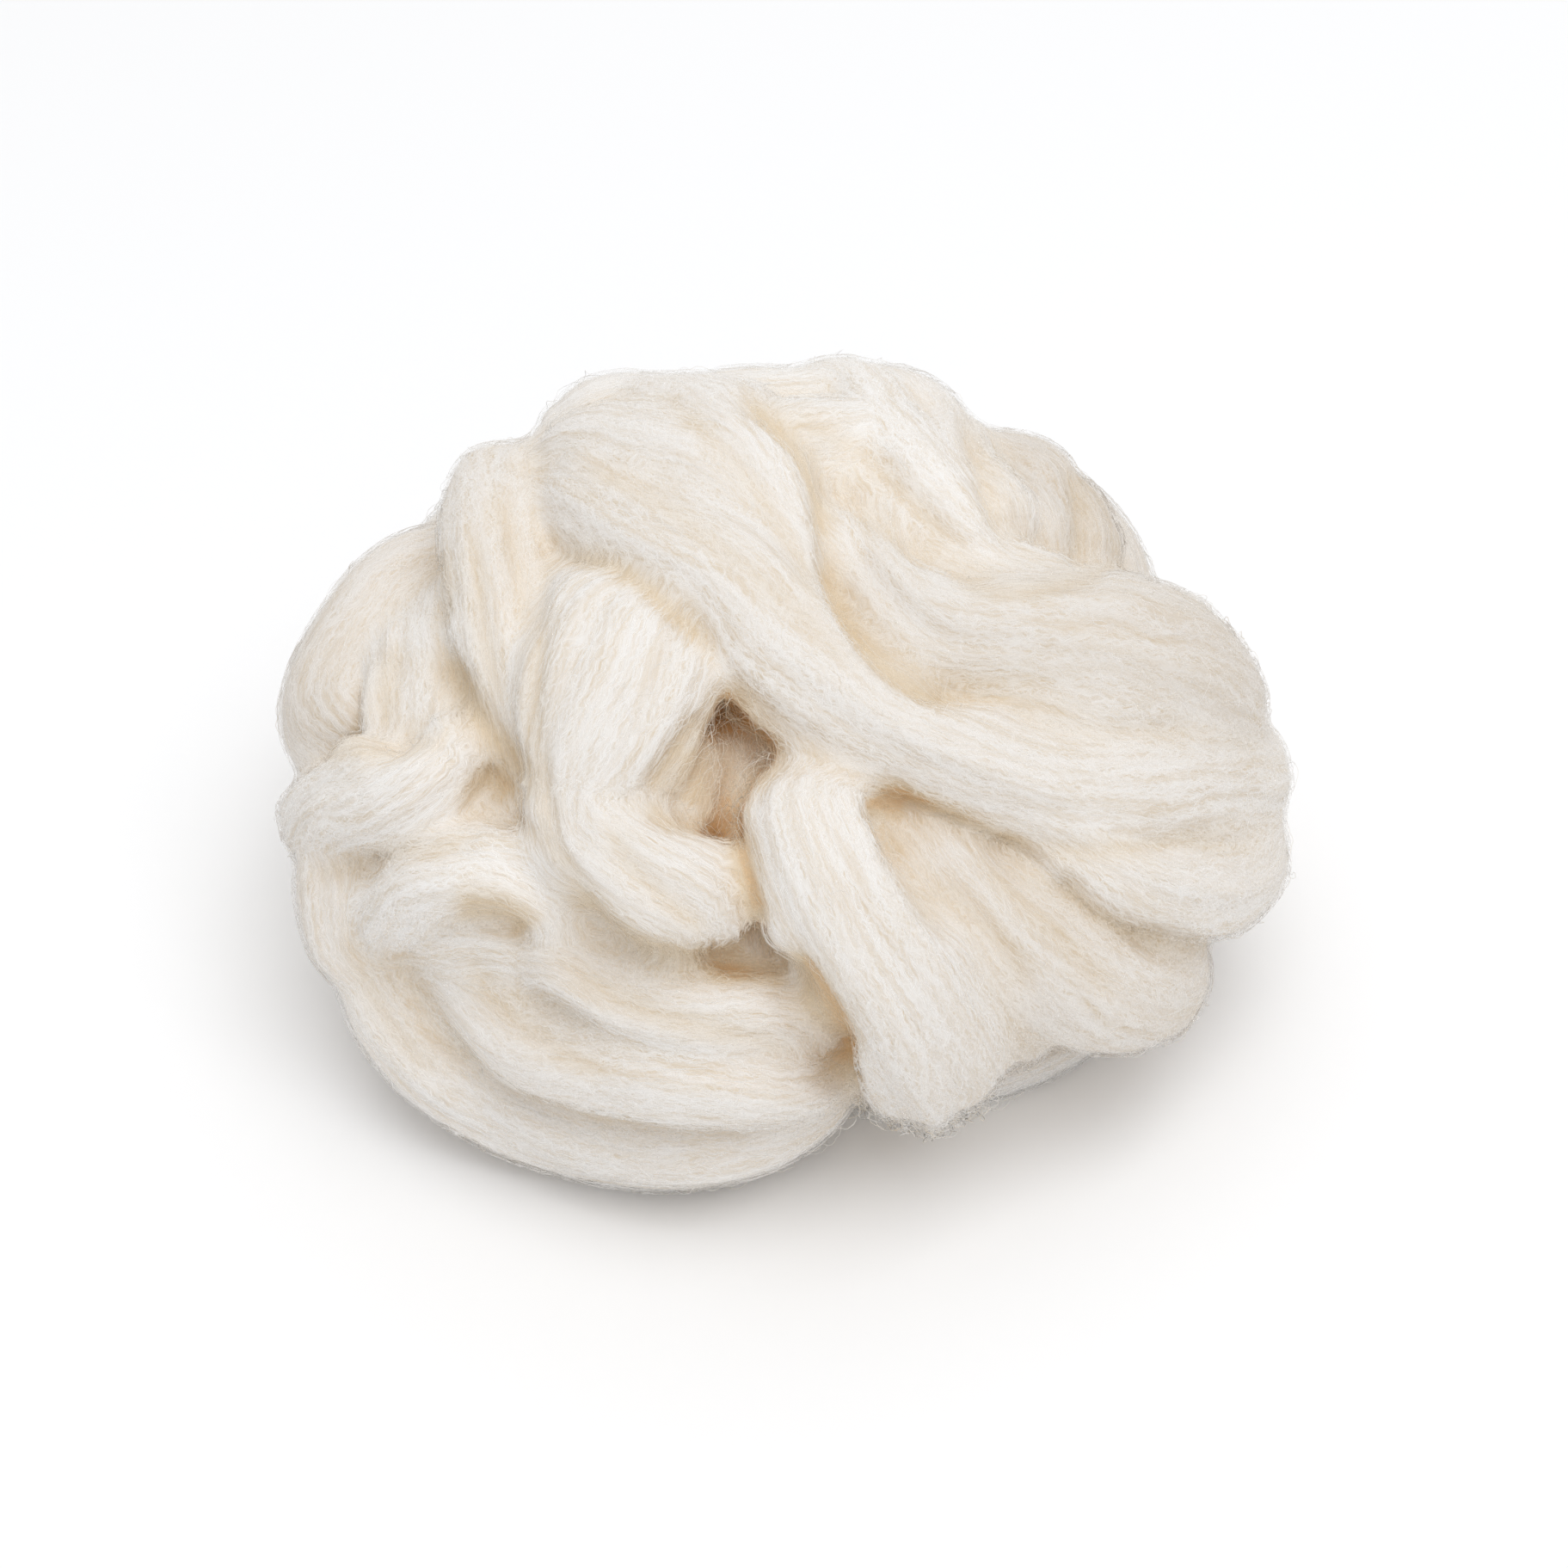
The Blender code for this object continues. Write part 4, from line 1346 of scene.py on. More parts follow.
@dataclass
class WoolBody:
    """The folds fused into one soft body, with its grooves half filled and long soft locks on its folds."""

    folds: list[Fold]
    finish: RopeWool
    view: FrontCamera
    name: str = "wool_body"
    voxel_mm: float = 1.85
    even_steps: int = 2
    soften_steps: int = 18
    keep_ridges: float = 0.12
    lock_mm: float = 0.55
    lock_seed: int = 31
    # The fewest waves round a fold, the number that they stay under and how many are drawn: broad, then fine.
    broad_locks: tuple[int, int, int] = (2, 6, 4)
    fine_locks: tuple[int, int, int] = (6, 15, 8)
    lock_pitch: tuple[float, float] = (80.0, 260.0)
    lock_edge: tuple[float, float] = (0.0, 4.0)
    unplaced: float = 99.0
    blend_reach: float = 5.0
    blend_mm: float = 1.5
    blend_steps: int = 3
    crease_reach: float = 16.0
    crease_facing: float = 0.3
    crease_window: int = 9
    crease_span: float = 4.0
    crease_taper: float = 5.0
    crease_edge: float = 1.3
    crease_calm_steps: int = 12
    crease_even: float = 0.35
    shade_wide: float = 1.4
    shade_edge: float = 1.6
    fill_steps: int = 10
    fill_share: float = 0.5
    fill_mm: tuple[float, float] = (0.0, 1.5)
    bridge_steps: int = 8
    most_lift: float = 2.6
    haze_calm_steps: int = 6
    shade_blend_steps: int = 24
    rays: int = 24
    ray_seed: int = 5
    ray_start: float = 1.0
    ray_reach: float = 70.0
    ray_lean: float = 1.02
    depth_steps: int = 4
    depth_range: tuple[float, float] = (0.24, 1.0)
    trough_steps: int = 36
    trough_mm: tuple[float, float] = (-1.0, 2.6)
    trough_even_steps: int = 3
    trough_shade: float = 0.30
    fold_apart_mm: float = 300.0
    hazes: tuple[tuple[float, HazeWool], ...] = (
        (0.45, HazeWool(name="haze_wool_near", seed=40.0, spacing_mm=0.95, thin=20.0, cover=0.90)),
        (1.15, HazeWool(name="haze_wool_far", seed=77.0, spacing_mm=1.6, thin=32.0, cover=0.80)),
    )

    def build(self) -> tuple[list[bpy.types.Object], CombedSurface]:
        """Fuses, softens, combs and dresses the body.

        Returns:
            The body and the haze on it, and its surface for the fibres to lie on.
        """
        points, triangles, edges = self.fuse()
        points = self.soften(points, edges)
        normals = self.normals(points, triangles)
        u, a, outside = self.fold_places(points)
        ways = self.comb(u, outside, normals, edges)
        points = self.raise_locks(points, normals, u, a, outside)
        points, shade = self.press_creases(points, triangles, self.normals(points, triangles), edges)
        normals = self.normals(points, triangles)
        piece = put_mesh(self.name, points, triangles)
        # Painted shade of the folds that face aside, back or down.
        painted_shades = self.paint_fold_shade(u, outside, edges)
        surface = CombedSurface(points, triangles, normals, ways, np.zeros(len(points)), painted_shades)
        # Painted shade: hollows, creases and occlusion, all kept as the occlusion shade that tints the wool.
        hollow = np.maximum(self.trough(points, normals, edges), shade)
        surface.occlusion_shades = np.maximum(self.occlusion_shade(surface, edges), hollow)
        point_values(piece, "occlusion_shade", surface.occlusion_shades)
        point_values(piece, "painted_shade", surface.painted_shades)
        self.map_fibres(piece, triangles, u, a, outside)
        piece.data.materials.append(self.finish.material())
        return [piece] + self.lay_haze(piece, surface, edges), surface

    def lay_haze(
        self, body: bpy.types.Object, surface: CombedSurface, edges: Array
    ) -> list[bpy.types.Object]:
        """Lays thin shells of loose fibres over the body: each is the body, lifted along its calmed normals.

        A shell bridges narrow grooves: its points move out to their neighbours' mean, and never in.

        Args:
            body: the body, whose fibre map the shells share.
            surface: the body's surface.
            edges: each edge both ways, as two point numbers.

        Returns:
            The shells.
        """
        calm = unit(self.spread_out(surface.normals, edges, self.haze_calm_steps))
        shells = []
        for number, (lift, finish) in enumerate(self.hazes):
            raised = surface.points + lift * calm
            for _ in range(self.bridge_steps):
                raised = raised + np.maximum(dot(self.spread(raised, edges) - raised, calm), 0.0) * calm
            rise = np.minimum(dot(raised - surface.points, calm), self.most_lift * lift)
            raised = held_up(surface.points + rise * calm, FIBRES_LOWEST)
            shell = put_mesh(f"haze_{number + 1}", raised, surface.triangles)
            point_values(shell, "occlusion_shade", surface.occlusion_shades)
            point_values(shell, "painted_shade", surface.painted_shades)
            places = np.empty(len(surface.triangles) * 6, np.float32)
            body.data.uv_layers["fibre_mm"].data.foreach_get("uv", places)
            corner_map(shell, "fibre_mm", places)
            shell.data.normals_split_custom_set_from_vertices(fluffed(surface.normals))
            shell.data.materials.append(finish.material())
            shell.visible_shadow = False
            shell.visible_diffuse = False
            shells.append(shell)
        return shells

    def fuse(self) -> tuple[Array, Array, Array]:
        """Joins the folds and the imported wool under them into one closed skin.

        Returns:
            Its points in millimetres, its triangles, and each edge both ways.
        """
        shells = [fold.rings() for fold in self.folds]
        shells += [egg(HEAP_MIDDLE, HEAP_HALF_SIZES - CORE_INSET), egg(FOOT_MIDDLE, FOOT_HALF_SIZES)]
        starts = np.cumsum([0] + [len(points) for points, _ in shells])
        faces = np.vstack([faces + start for (_, faces), start in zip(shells, starts)])
        rough = put_mesh("rough_wool", np.vstack([points for points, _ in shells]), faces)
        remesh = rough.modifiers.new("fuse", "REMESH")
        remesh.mode = "VOXEL"
        remesh.voxel_size = self.voxel_mm * MM
        mesh = rough.evaluated_get(bpy.context.evaluated_depsgraph_get()).to_mesh()
        mesh.calc_loop_triangles()
        points = np.empty(len(mesh.vertices) * 3, np.float32)
        mesh.vertices.foreach_get("co", points)
        triangles = np.empty(len(mesh.loop_triangles) * 3, np.int32)
        mesh.loop_triangles.foreach_get("vertices", triangles)
        edges = np.empty(len(mesh.edges) * 2, np.int32)
        mesh.edges.foreach_get("vertices", edges)
        bpy.data.objects.remove(rough)
        edges = edges.reshape(-1, 2)
        both_ways = np.concatenate([edges, edges[:, ::-1]])
        return points.reshape(-1, 3).astype(float) / MM, triangles.reshape(-1, 3), both_ways

    def spread(self, values: Array, edges: Array) -> Array:
        """The mean of each point's neighbours.

        Args:
            values: one row for each point.
            edges: each edge both ways, as two point numbers.

        Returns:
            One row for each point.
        """
        near = np.maximum(np.bincount(edges[:, 0], minlength=len(values)), 1)
        return gathered(edges[:, 0], values[edges[:, 1]], len(values)) / near[:, None]

    def spread_out(self, values: Array, edges: Array, steps: int) -> Array:
        """The mean of each point's neighbours, taken again for each step.

        Args:
            values: one row for each point.
            edges: each edge both ways, as two point numbers.
            steps: how many times the mean is taken.

        Returns:
            One row for each point.
        """
        for _ in range(steps):
            values = self.spread(values, edges)
        return values

    def normals(self, points: Array, triangles: Array) -> Array:
        """Outward directions of the points: the sum of the normals of the faces round each.

        Args:
            points: points x 3, in millimetres.
            triangles: triangles x 3, as point numbers.

        Returns:
            One direction of length 1 for each point.
        """
        corners = points[triangles]
        face = np.cross(corners[:, 1] - corners[:, 0], corners[:, 2] - corners[:, 0])
        return unit(sum(gathered(triangles[:, corner], face, len(points)) for corner in range(3)))

    def soften(self, points: Array, edges: Array) -> Array:
        """Fills the grooves and rounds the ridges a little.

        Each point moves half way to its neighbours' mean. A move inwards, which would flatten a ridge,
        counts less.

        Args:
            points: points x 3, in millimetres.
            edges: each edge both ways, as two point numbers.

        Returns:
            The moved points.
        """
        for _ in range(self.even_steps):
            points = 0.5 * points + 0.5 * self.spread(points, edges)
        for _ in range(self.soften_steps):
            move = 0.5 * (self.spread(points, edges) - points)
            away = unit((points - HEAP_MIDDLE) / HEAP_HALF_SIZES**2)
            inward = dot(move, away) < 0
            points = points + np.where(inward, self.keep_ridges, 1.0) * move
        return held_up(points, LOWEST)

    def fold_places(self, points: Array, margin: float = 9.0) -> tuple[Array, Array, Array]:
        """Finds the points' places on all the folds.

        Args:
            points: points x 3, in millimetres.
            margin: how far off a fold a point may lie and still be placed.

        Returns:
            u, a and the distance outside, each as folds x points. Far points have a large distance.
        """
        shape = (len(self.folds), len(points))
        u, a, outside = np.zeros(shape), np.zeros(shape), np.full(shape, self.unplaced)
        for row, fold in enumerate(self.folds):
            reach = 0.5 * max(fold.wide.max(), fold.thick.max()) + margin
            low, high = fold.middle.min(axis=0) - reach, fold.middle.max(axis=0) + reach
            near = np.flatnonzero(((points > low) & (points < high)).all(axis=1))
            u[row, near], a[row, near], outside[row, near] = fold.places(points[near])
        return u, a, outside

    def comb(self, u: Array, outside: Array, normals: Array, edges: Array) -> Array:
        """Works out which way the fibres run: the folds' own lines, blended where two folds meet.

        Args:
            u: each point's length along each fold, as folds x points.
            outside: how far each point lies outside each fold, as folds x points.
            normals: one outward direction for each point.
            edges: each edge both ways, as two point numbers.

        Returns:
            One direction of length 1 for each point.
        """
        best = outside.argmin(axis=0)
        lead = np.zeros_like(normals)
        total = np.zeros_like(normals)
        least = outside.min(axis=0)
        for turn in (True, False):
            for row, fold in enumerate(self.folds):
                here = best == row if turn else outside[row] < least + self.blend_reach
                near = np.flatnonzero(here)
                along = fold.read(fold.along, u[row, near])
                along = unit(along - normals[near] * dot(along, normals[near]))
                lean = fold.read(fold.leaning, u[row, near])[:, None]
                way = unit(along + lean * np.cross(along, normals[near]))
                if turn:
                    lead[near] = way
                    continue
                weight = np.exp((least[near] - outside[row, near]) / self.blend_mm)[:, None]
                total[near] += weight * way * np.sign(dot(way, lead[near]) + 1e-9)
        for _ in range(self.blend_steps):
            total = unit(total)
            aligned = total[edges[:, 1]] * np.sign(dot(total[edges[:, 1]], total[edges[:, 0]]) + 1e-9)
            total = total + gathered(edges[:, 0], aligned, len(total))
        return unit(total - normals * dot(total, normals))

    def raise_locks(self, points: Array, normals: Array, u: Array, a: Array, outside: Array) -> Array:
        """Lifts long soft locks along the fibres.

        Their height is a sum of cosines of turns (a - carried(u)) + 2 pi u / pitch.

        Args:
            points: points x 3, in millimetres.
            normals: one outward direction for each point.
            u: each point's length along each fold, as folds x points.
            a: each point's angle round each fold, as folds x points.
            outside: how far each point lies outside each fold, as folds x points.

        Returns:
            The lifted points.
        """
        random = np.random.default_rng(self.lock_seed)
        best = outside.argmin(axis=0)
        height = np.zeros(len(points))
        for row, fold in enumerate(self.folds):
            here = np.flatnonzero(best == row)
            lying = a[row, here] - fold.read(fold.carried, u[row, here])
            turns = np.concatenate([random.integers(*self.broad_locks), random.integers(*self.fine_locks)])
            pitch = random.uniform(*self.lock_pitch, len(turns)) * random.choice((-1, 1), len(turns))
            phase = random.uniform(0, 2 * math.pi, len(turns))
            for k, p, start in zip(turns, pitch, phase):
                height[here] += (k / 4.0) ** -0.6 * np.cos(k * lying + 2 * math.pi * u[row, here] / p + start)
        ordered = np.sort(outside, axis=0)
        apart = smooth_step(*self.lock_edge, ordered[1] - ordered[0])
        return held_up(points + (self.lock_mm * height / 2.0 * apart)[:, None] * normals, LOWEST)

    def press_creases(
        self, points: Array, triangles: Array, normals: Array, edges: Array
    ) -> tuple[Array, Array]:
        """Presses the creases in: each point goes in by deep exp(-(distance / wide)^edge).

        It goes in less at a crease's ends. The distance is measured across the sight line, and only the
        wool that shows beside a crease is pressed.

        Args:
            points: points x 3, in millimetres.
            triangles: triangles x 3, as point numbers.
            normals: one outward direction for each point.
            edges: each edge both ways, as two point numbers.

        Returns:
            The points, and how shaded each is by its crease, from 0 to 1.
        """
        tree = BVHTree.FromPolygons(points.tolist(), triangles.tolist())
        places, far = self.view.project(points)
        facing = normals @ self.view.axes()[2] < self.crease_facing
        dig, shade = np.zeros(len(points)), np.zeros(len(points))
        for crease in CREASES.values():
            path, off = self.view.cast(tree, crease.path)
            window = np.full(self.crease_window, 1 / self.crease_window)
            off = np.convolve(np.pad(off, self.crease_window // 2, mode="edge"), window, mode="valid")
            size = far.mean() / self.view.scale()
            reach = self.crease_span * crease.wide / size
            inside = ((places > path.min(axis=0) - reach) & (places < path.max(axis=0) + reach)).all(axis=1)
            near = np.flatnonzero(inside & facing & (far < off.max() + self.crease_reach))
            gap = np.linalg.norm(places[near, None] - path[None], axis=2) * size
            place = gap.argmin(axis=1)
            gap = gap.min(axis=1)
            behind = np.abs(far[near] - off[place])
            beside = 1 - smooth_step(0.5 * self.crease_reach, self.crease_reach, behind)
            to_end = np.minimum(place + 1, len(path) - place)
            ends = beside * np.minimum(1.0, self.crease_taper * to_end / len(path))
            pressed = crease.deep * ends * np.exp(-((gap / crease.wide) ** self.crease_edge))
            dig[near] = np.where(np.abs(pressed) > np.abs(dig[near]), pressed, dig[near])
            # Painted shade along each crease, towards tan.
            faint = (gap / (self.shade_wide * crease.wide)) ** self.shade_edge
            shaded = crease.shade_tint * ends * np.exp(-faint)
            shade[near] = np.maximum(shade[near], shaded)
        calm = unit(self.spread_out(normals, edges, self.crease_calm_steps))
        points = points - dig[:, None] * calm
        for _ in range(self.even_steps):
            points = points + self.crease_even * (self.spread(points, edges) - points)
        filled = self.fill_share * smooth_step(*self.fill_mm, -dig)[:, None]
        for _ in range(self.fill_steps):
            points = points + filled * (self.spread(points, edges) - points)
        return held_up(points, LOWEST), shade

    def paint_fold_shade(self, u: Array, outside: Array, edges: Array) -> Array:
        """How much painted shade each point gets: its own fold's share there, blended over the folds' edges.

        Args:
            u: each point's length along each fold, as folds x points.
            outside: how far each point lies outside each fold, as folds x points.
            edges: each edge both ways, as two point numbers.

        Returns:
            One share for each point, from 0 to 1.
        """
        best = outside.argmin(axis=0)
        shares = np.zeros((len(best), 1))
        for row, fold in enumerate(self.folds):
            here = np.flatnonzero(best == row)
            shares[here, 0] = np.interp(u[row, here], (0.0, fold.length), fold.painted_shade)
        return self.spread_out(shares, edges, self.shade_blend_steps)[:, 0]

    def occlusion_shade(self, surface: CombedSurface, edges: Array) -> Array:
        """How closed in each point is, painted into the wool's colour as shade: the share of rays over its
        half sphere that meet wool.

        Args:
            surface: the body's surface.
            edges: each edge both ways, as two point numbers.

        Returns:
            0 for a free point to 1 for a buried one.
        """
        random = np.random.default_rng(self.ray_seed)
        closed = np.zeros((len(surface.points), 1))
        starts = (surface.points + self.ray_start * surface.normals).tolist()
        cast = surface.tree.ray_cast
        for ray in unit(random.normal(size=(self.rays, 3))):
            aims = unit(surface.normals * self.ray_lean + ray).tolist()
            hits = [cast(start, aim, self.ray_reach)[3] for start, aim in zip(starts, aims)]
            closed[:, 0] += np.array([0.0 if hit is None else 1.0 for hit in hits]) / self.rays
        for _ in range(self.depth_steps):
            closed = 0.4 * closed + 0.6 * self.spread(closed, edges)
        return smooth_step(*self.depth_range, closed[:, 0])

    def trough(self, points: Array, normals: Array, edges: Array) -> Array:
        """How hollow the surface is round each point, painted as shade: how far it sinks under the mean of
        the wool around it.

        Args:
            points: points x 3, in millimetres.
            normals: one outward direction for each point.
            edges: each edge both ways, as two point numbers.

        Returns:
            0 on a ridge, to trough_shade in a trough.
        """
        around = self.spread_out(points, edges, self.trough_steps)
        sunk = self.spread_out(dot(around - points, normals), edges, self.trough_even_steps)
        return self.trough_shade * smooth_step(*self.trough_mm, sunk[:, 0])

    def map_fibres(
        self, piece: bpy.types.Object, triangles: Array, u: Array, a: Array, outside: Array
    ) -> None:
        """Writes the map of the fibres, in millimetres along and round the folds.

        Each face reads the fold that it lies deepest in, and no face reaches over a fold's hidden seam.

        Args:
            piece: the piece that gets the map.
            triangles: triangles x 3, as point numbers.
            u: each point's length along each fold, as folds x points.
            a: each point's angle round each fold, as folds x points.
            outside: how far each point lies outside each fold, as folds x points.
        """
        spot = outside[:, triangles].sum(axis=2).argmin(axis=0)
        face_u = u[spot[:, None], triangles]
        face_a = a[spot[:, None], triangles]
        face_a = face_a + 2 * math.pi * np.round((face_a[:, :1] - face_a) / (2 * math.pi))
        along, around = np.zeros_like(face_u), np.zeros_like(face_u)
        for row, fold in enumerate(self.folds):
            here = spot == row
            carried = fold.read(fold.carried, face_u[here])
            along[here] = face_u[here] + self.fold_apart_mm * row
            around[here] = (face_a[here] - carried) * fold.radius
        corner_map(piece, "fibre_mm", np.stack([along, around], axis=-1).reshape(-1, 2))


class Lay(Enum):
    """How a fibre lies: long or crimped along the rope, off it, over the opening, or curled at the end."""

    COMBED = "combed"
    CRIMPED = "crimped"
    STRAY = "stray"
    BRIDGING = "bridging"
    FRAYED = "frayed"


@dataclass
class FibreLayer:
    """Many fibres of one lay, each a closed three-sided spindle with pointed ends."""

    lay: Lay
    count: int
    rings: int
    step_mm: tuple[float, float]
    thickness: tuple[float, float]
    lift: tuple[float, float]
    crimp: tuple[float, float]
    crimp_mm: tuple[float, float]
    turn_deg: float
    seed: int
    around: tuple[float, float, float] | None = None
    reach: float = 16.0
    buried: float = 0.97
    lowest_start: float = 1.0
    dip: float = 0.15
    rise_share: float = 0.5
    rise_pitch: float = 0.83
    least_open: float = 0.55
    tone: tuple[float, float] = (0.88, 0.12)
    shade_darkening: float = 0.75
    most_per_piece: int = 190_000

    def starts(self, surface: CombedSurface, random: np.random.Generator) -> Array:
        """Draws starting points on the surface, more of them where the front of the heap shows.

        Args:
            surface: the body's surface.
            random: the layer's random numbers.

        Returns:
            One place for each fibre.
        """
        corners = surface.points[surface.triangles]
        sides = np.cross(corners[:, 1] - corners[:, 0], corners[:, 2] - corners[:, 0])
        area = 0.5 * np.linalg.norm(sides, axis=1)
        normals = unit(surface.normals[surface.triangles].sum(axis=1))
        seen = normals @ unit(FRONT_WAY)
        occlusion_shade = surface.occlusion_shades[surface.triangles].mean(axis=1)
        chance = area * (0.4 + 0.6 * np.clip(2 * seen + 0.6, 0, 1)) * (occlusion_shade < self.buried)
        middles = corners.mean(axis=1)
        chance *= middles[:, 2] > self.lowest_start
        if self.around is not None:
            chance *= np.exp(-((np.linalg.norm(middles - np.array(self.around), axis=1) / self.reach) ** 4))
        chosen = random.choice(len(area), self.count, p=chance / chance.sum())
        mix = random.dirichlet((1, 1, 1), self.count)
        return (corners[chosen] * mix[..., None]).sum(axis=1)

    def walk(self, surface: CombedSurface, random: np.random.Generator) -> tuple[Array, Array, Array]:
        """Walks each fibre over the surface, along the way the wool is combed and a little off it.

        Args:
            surface: the body's surface.
            random: the layer's random numbers.

        Returns:
            Points and outward directions as fibres x rings x 3, and the painted shade along each fibre.
        """
        place, normal, way, occlusion_shade = surface.nearest(self.starts(surface, random))
        way = way * random.choice((-1, 1), (self.count, 1))
        angle = np.radians(random.normal(0, self.turn_deg, (self.count, 1)))
        step = random.uniform(*self.step_mm, (self.count, 1))
        held = self.turned(way, normal, angle)
        line, outs, occlusion_shades = [place], [normal], [occlusion_shade]
        for _ in range(self.rings - 1):
            place, normal, way, occlusion_shade = surface.nearest(place + step * held)
            way = way * np.sign(dot(way, held) + 1e-9)
            held = self.turned(way, normal, angle)
            line.append(place)
            outs.append(normal)
            occlusion_shades.append(occlusion_shade)
        return np.stack(line, axis=1), np.stack(outs, axis=1), np.stack(occlusion_shades, axis=1)

    def turned(self, way: Array, normal: Array, angle: Array) -> Array:
        """Turns each way about its normal: way cos + (normal x way) sin."""
        return way * np.cos(angle) + np.cross(normal, way) * np.sin(angle)

    def frame(self, line: Array, outs: Array) -> tuple[Array, Array]:
        """Two ways square to each fibre: out of the wool, and their cross product, beside the fibre.

        Args:
            line: the fibres' points, as fibres x rings x 3.
            outs: the outward direction at each of them.

        Returns:
            The ways out and the ways beside, each of length 1.
        """
        along = unit(np.gradient(line, axis=1))
        out = unit(outs - along * dot(outs, along))
        return out, np.cross(along, out)

    def bend(self, line: Array, outs: Array, random: np.random.Generator) -> Array:
        """Lifts the middle of each fibre off the surface and waves it sideways and up.

        The lift is height sin(pi t) - dip, and the waves are crimp sin(2 pi s / pitch + phase).

        Args:
            line: the fibres' points, as fibres x rings x 3.
            outs: the outward direction at each of them.
            random: the layer's random numbers.

        Returns:
            The fibres' bent points.
        """
        number = len(line)
        t = np.linspace(0, 1, self.rings)[None, :]
        steps = np.linalg.norm(np.diff(line, axis=1), axis=2)
        gone = np.concatenate([np.zeros((number, 1)), np.cumsum(steps, axis=1)], axis=1)
        out, beside = self.frame(line, outs)
        height = random.uniform(*self.lift, (number, 1))
        crimp = random.uniform(*self.crimp, (number, 1))
        pitch = random.uniform(*self.crimp_mm, (number, 1))
        phase = random.uniform(0, 2 * math.pi, (number, 2))
        bow = np.sin(math.pi * t)
        sideways = crimp * np.sin(2 * math.pi * gone / pitch + phase[:, :1])
        turns = 2 * math.pi * gone / (self.rise_pitch * pitch) + phase[:, 1:]
        upward = self.rise_share * crimp * np.sin(turns) * bow
        raised = height * bow - self.dip + upward
        return held_up(line + sideways[..., None] * beside + raised[..., None] * out, LOWEST)

    def skin(self, line: Array, outs: Array, random: np.random.Generator) -> tuple[Array, Array]:
        """Skins each line with three sides: P + r (cos(q) beside + sin(q) out).

        The radius r falls to a point at each end.

        Args:
            line: the fibres' points, as fibres x rings x 3.
            outs: the outward direction at each of them.
            random: the layer's random numbers.

        Returns:
            The points and the triangles.
        """
        number = len(line)
        out, beside = self.frame(line, outs)
        t = np.linspace(-0.5, 0.5, self.rings)[None, :]
        thick = random.uniform(*self.thickness, (number, 1))
        radius = 0.5 * thick * np.cos(math.pi * t * 0.97) ** 0.5
        turn = math.pi / 2 - np.arange(3) * 2 * math.pi / 3
        ring = np.cos(turn)[:, None] * beside[:, :, None] + np.sin(turn)[:, None] * out[:, :, None]
        points = line[:, :, None] + radius[..., None, None] * ring
        last = (self.rings - 1) * 3
        one = np.vstack([halved(ring_faces(self.rings, 3)), [[0, 2, 1], [last, last + 1, last + 2]]])
        faces = (np.arange(number)[:, None, None] * self.rings * 3 + one).reshape(-1, 3)
        return held_up(points, FIBRES_LOWEST).reshape(-1, 3), faces

    def build(self, surface: CombedSurface, material: bpy.types.Material) -> list[bpy.types.Object]:
        """Makes the layer's fibres, in pieces small enough to keep whole.

        Args:
            surface: the body's surface.
            material: the fibres' finish.

        Returns:
            The pieces.
        """
        random = np.random.default_rng(self.seed)
        line, outs, occlusion_shades = self.walk(surface, random)
        # A fibre that turned back on itself is left out.
        gone = np.linalg.norm(np.diff(line, axis=1), axis=2).sum(axis=1)
        kept = np.linalg.norm(line[:, -1] - line[:, 0], axis=1) > self.least_open * gone
        line, outs, occlusion_shades = line[kept], outs[kept], occlusion_shades[kept]
        self.count = len(line)
        line = self.bend(line, outs, random)
        points, faces = self.skin(line, outs, random)
        own = np.clip(random.normal(*self.tone, (self.count, 1)), 0.5, 1.0)
        # Painted shade: each fibre darkens by the painted shade under it.
        tone = own * (1 - self.shade_darkening * occlusion_shades)
        per_fibre = len(faces) // self.count
        each = self.most_per_piece // per_fibre
        pieces = []
        for start in range(0, self.count, each):
            stop = min(start + each, self.count)
            shift = start * self.rings * 3
            chosen = faces[start * per_fibre : stop * per_fibre] - shift
            piece = put_mesh(
                f"{self.lay.value}_fibres_{len(pieces) + 1}", points[shift : stop * self.rings * 3], chosen
            )
            point_values(piece, "tone", np.repeat(tone[start:stop].ravel(), 3))
            # Each fibre takes light as the wool under it does.
            facing = fluffed(outs[start:stop].reshape(-1, 3))
            piece.data.normals_split_custom_set_from_vertices(np.repeat(facing, 3, axis=0))
            piece.data.materials.append(material)
            piece.visible_shadow = False
            piece.visible_diffuse = False
            pieces.append(piece)
        return pieces


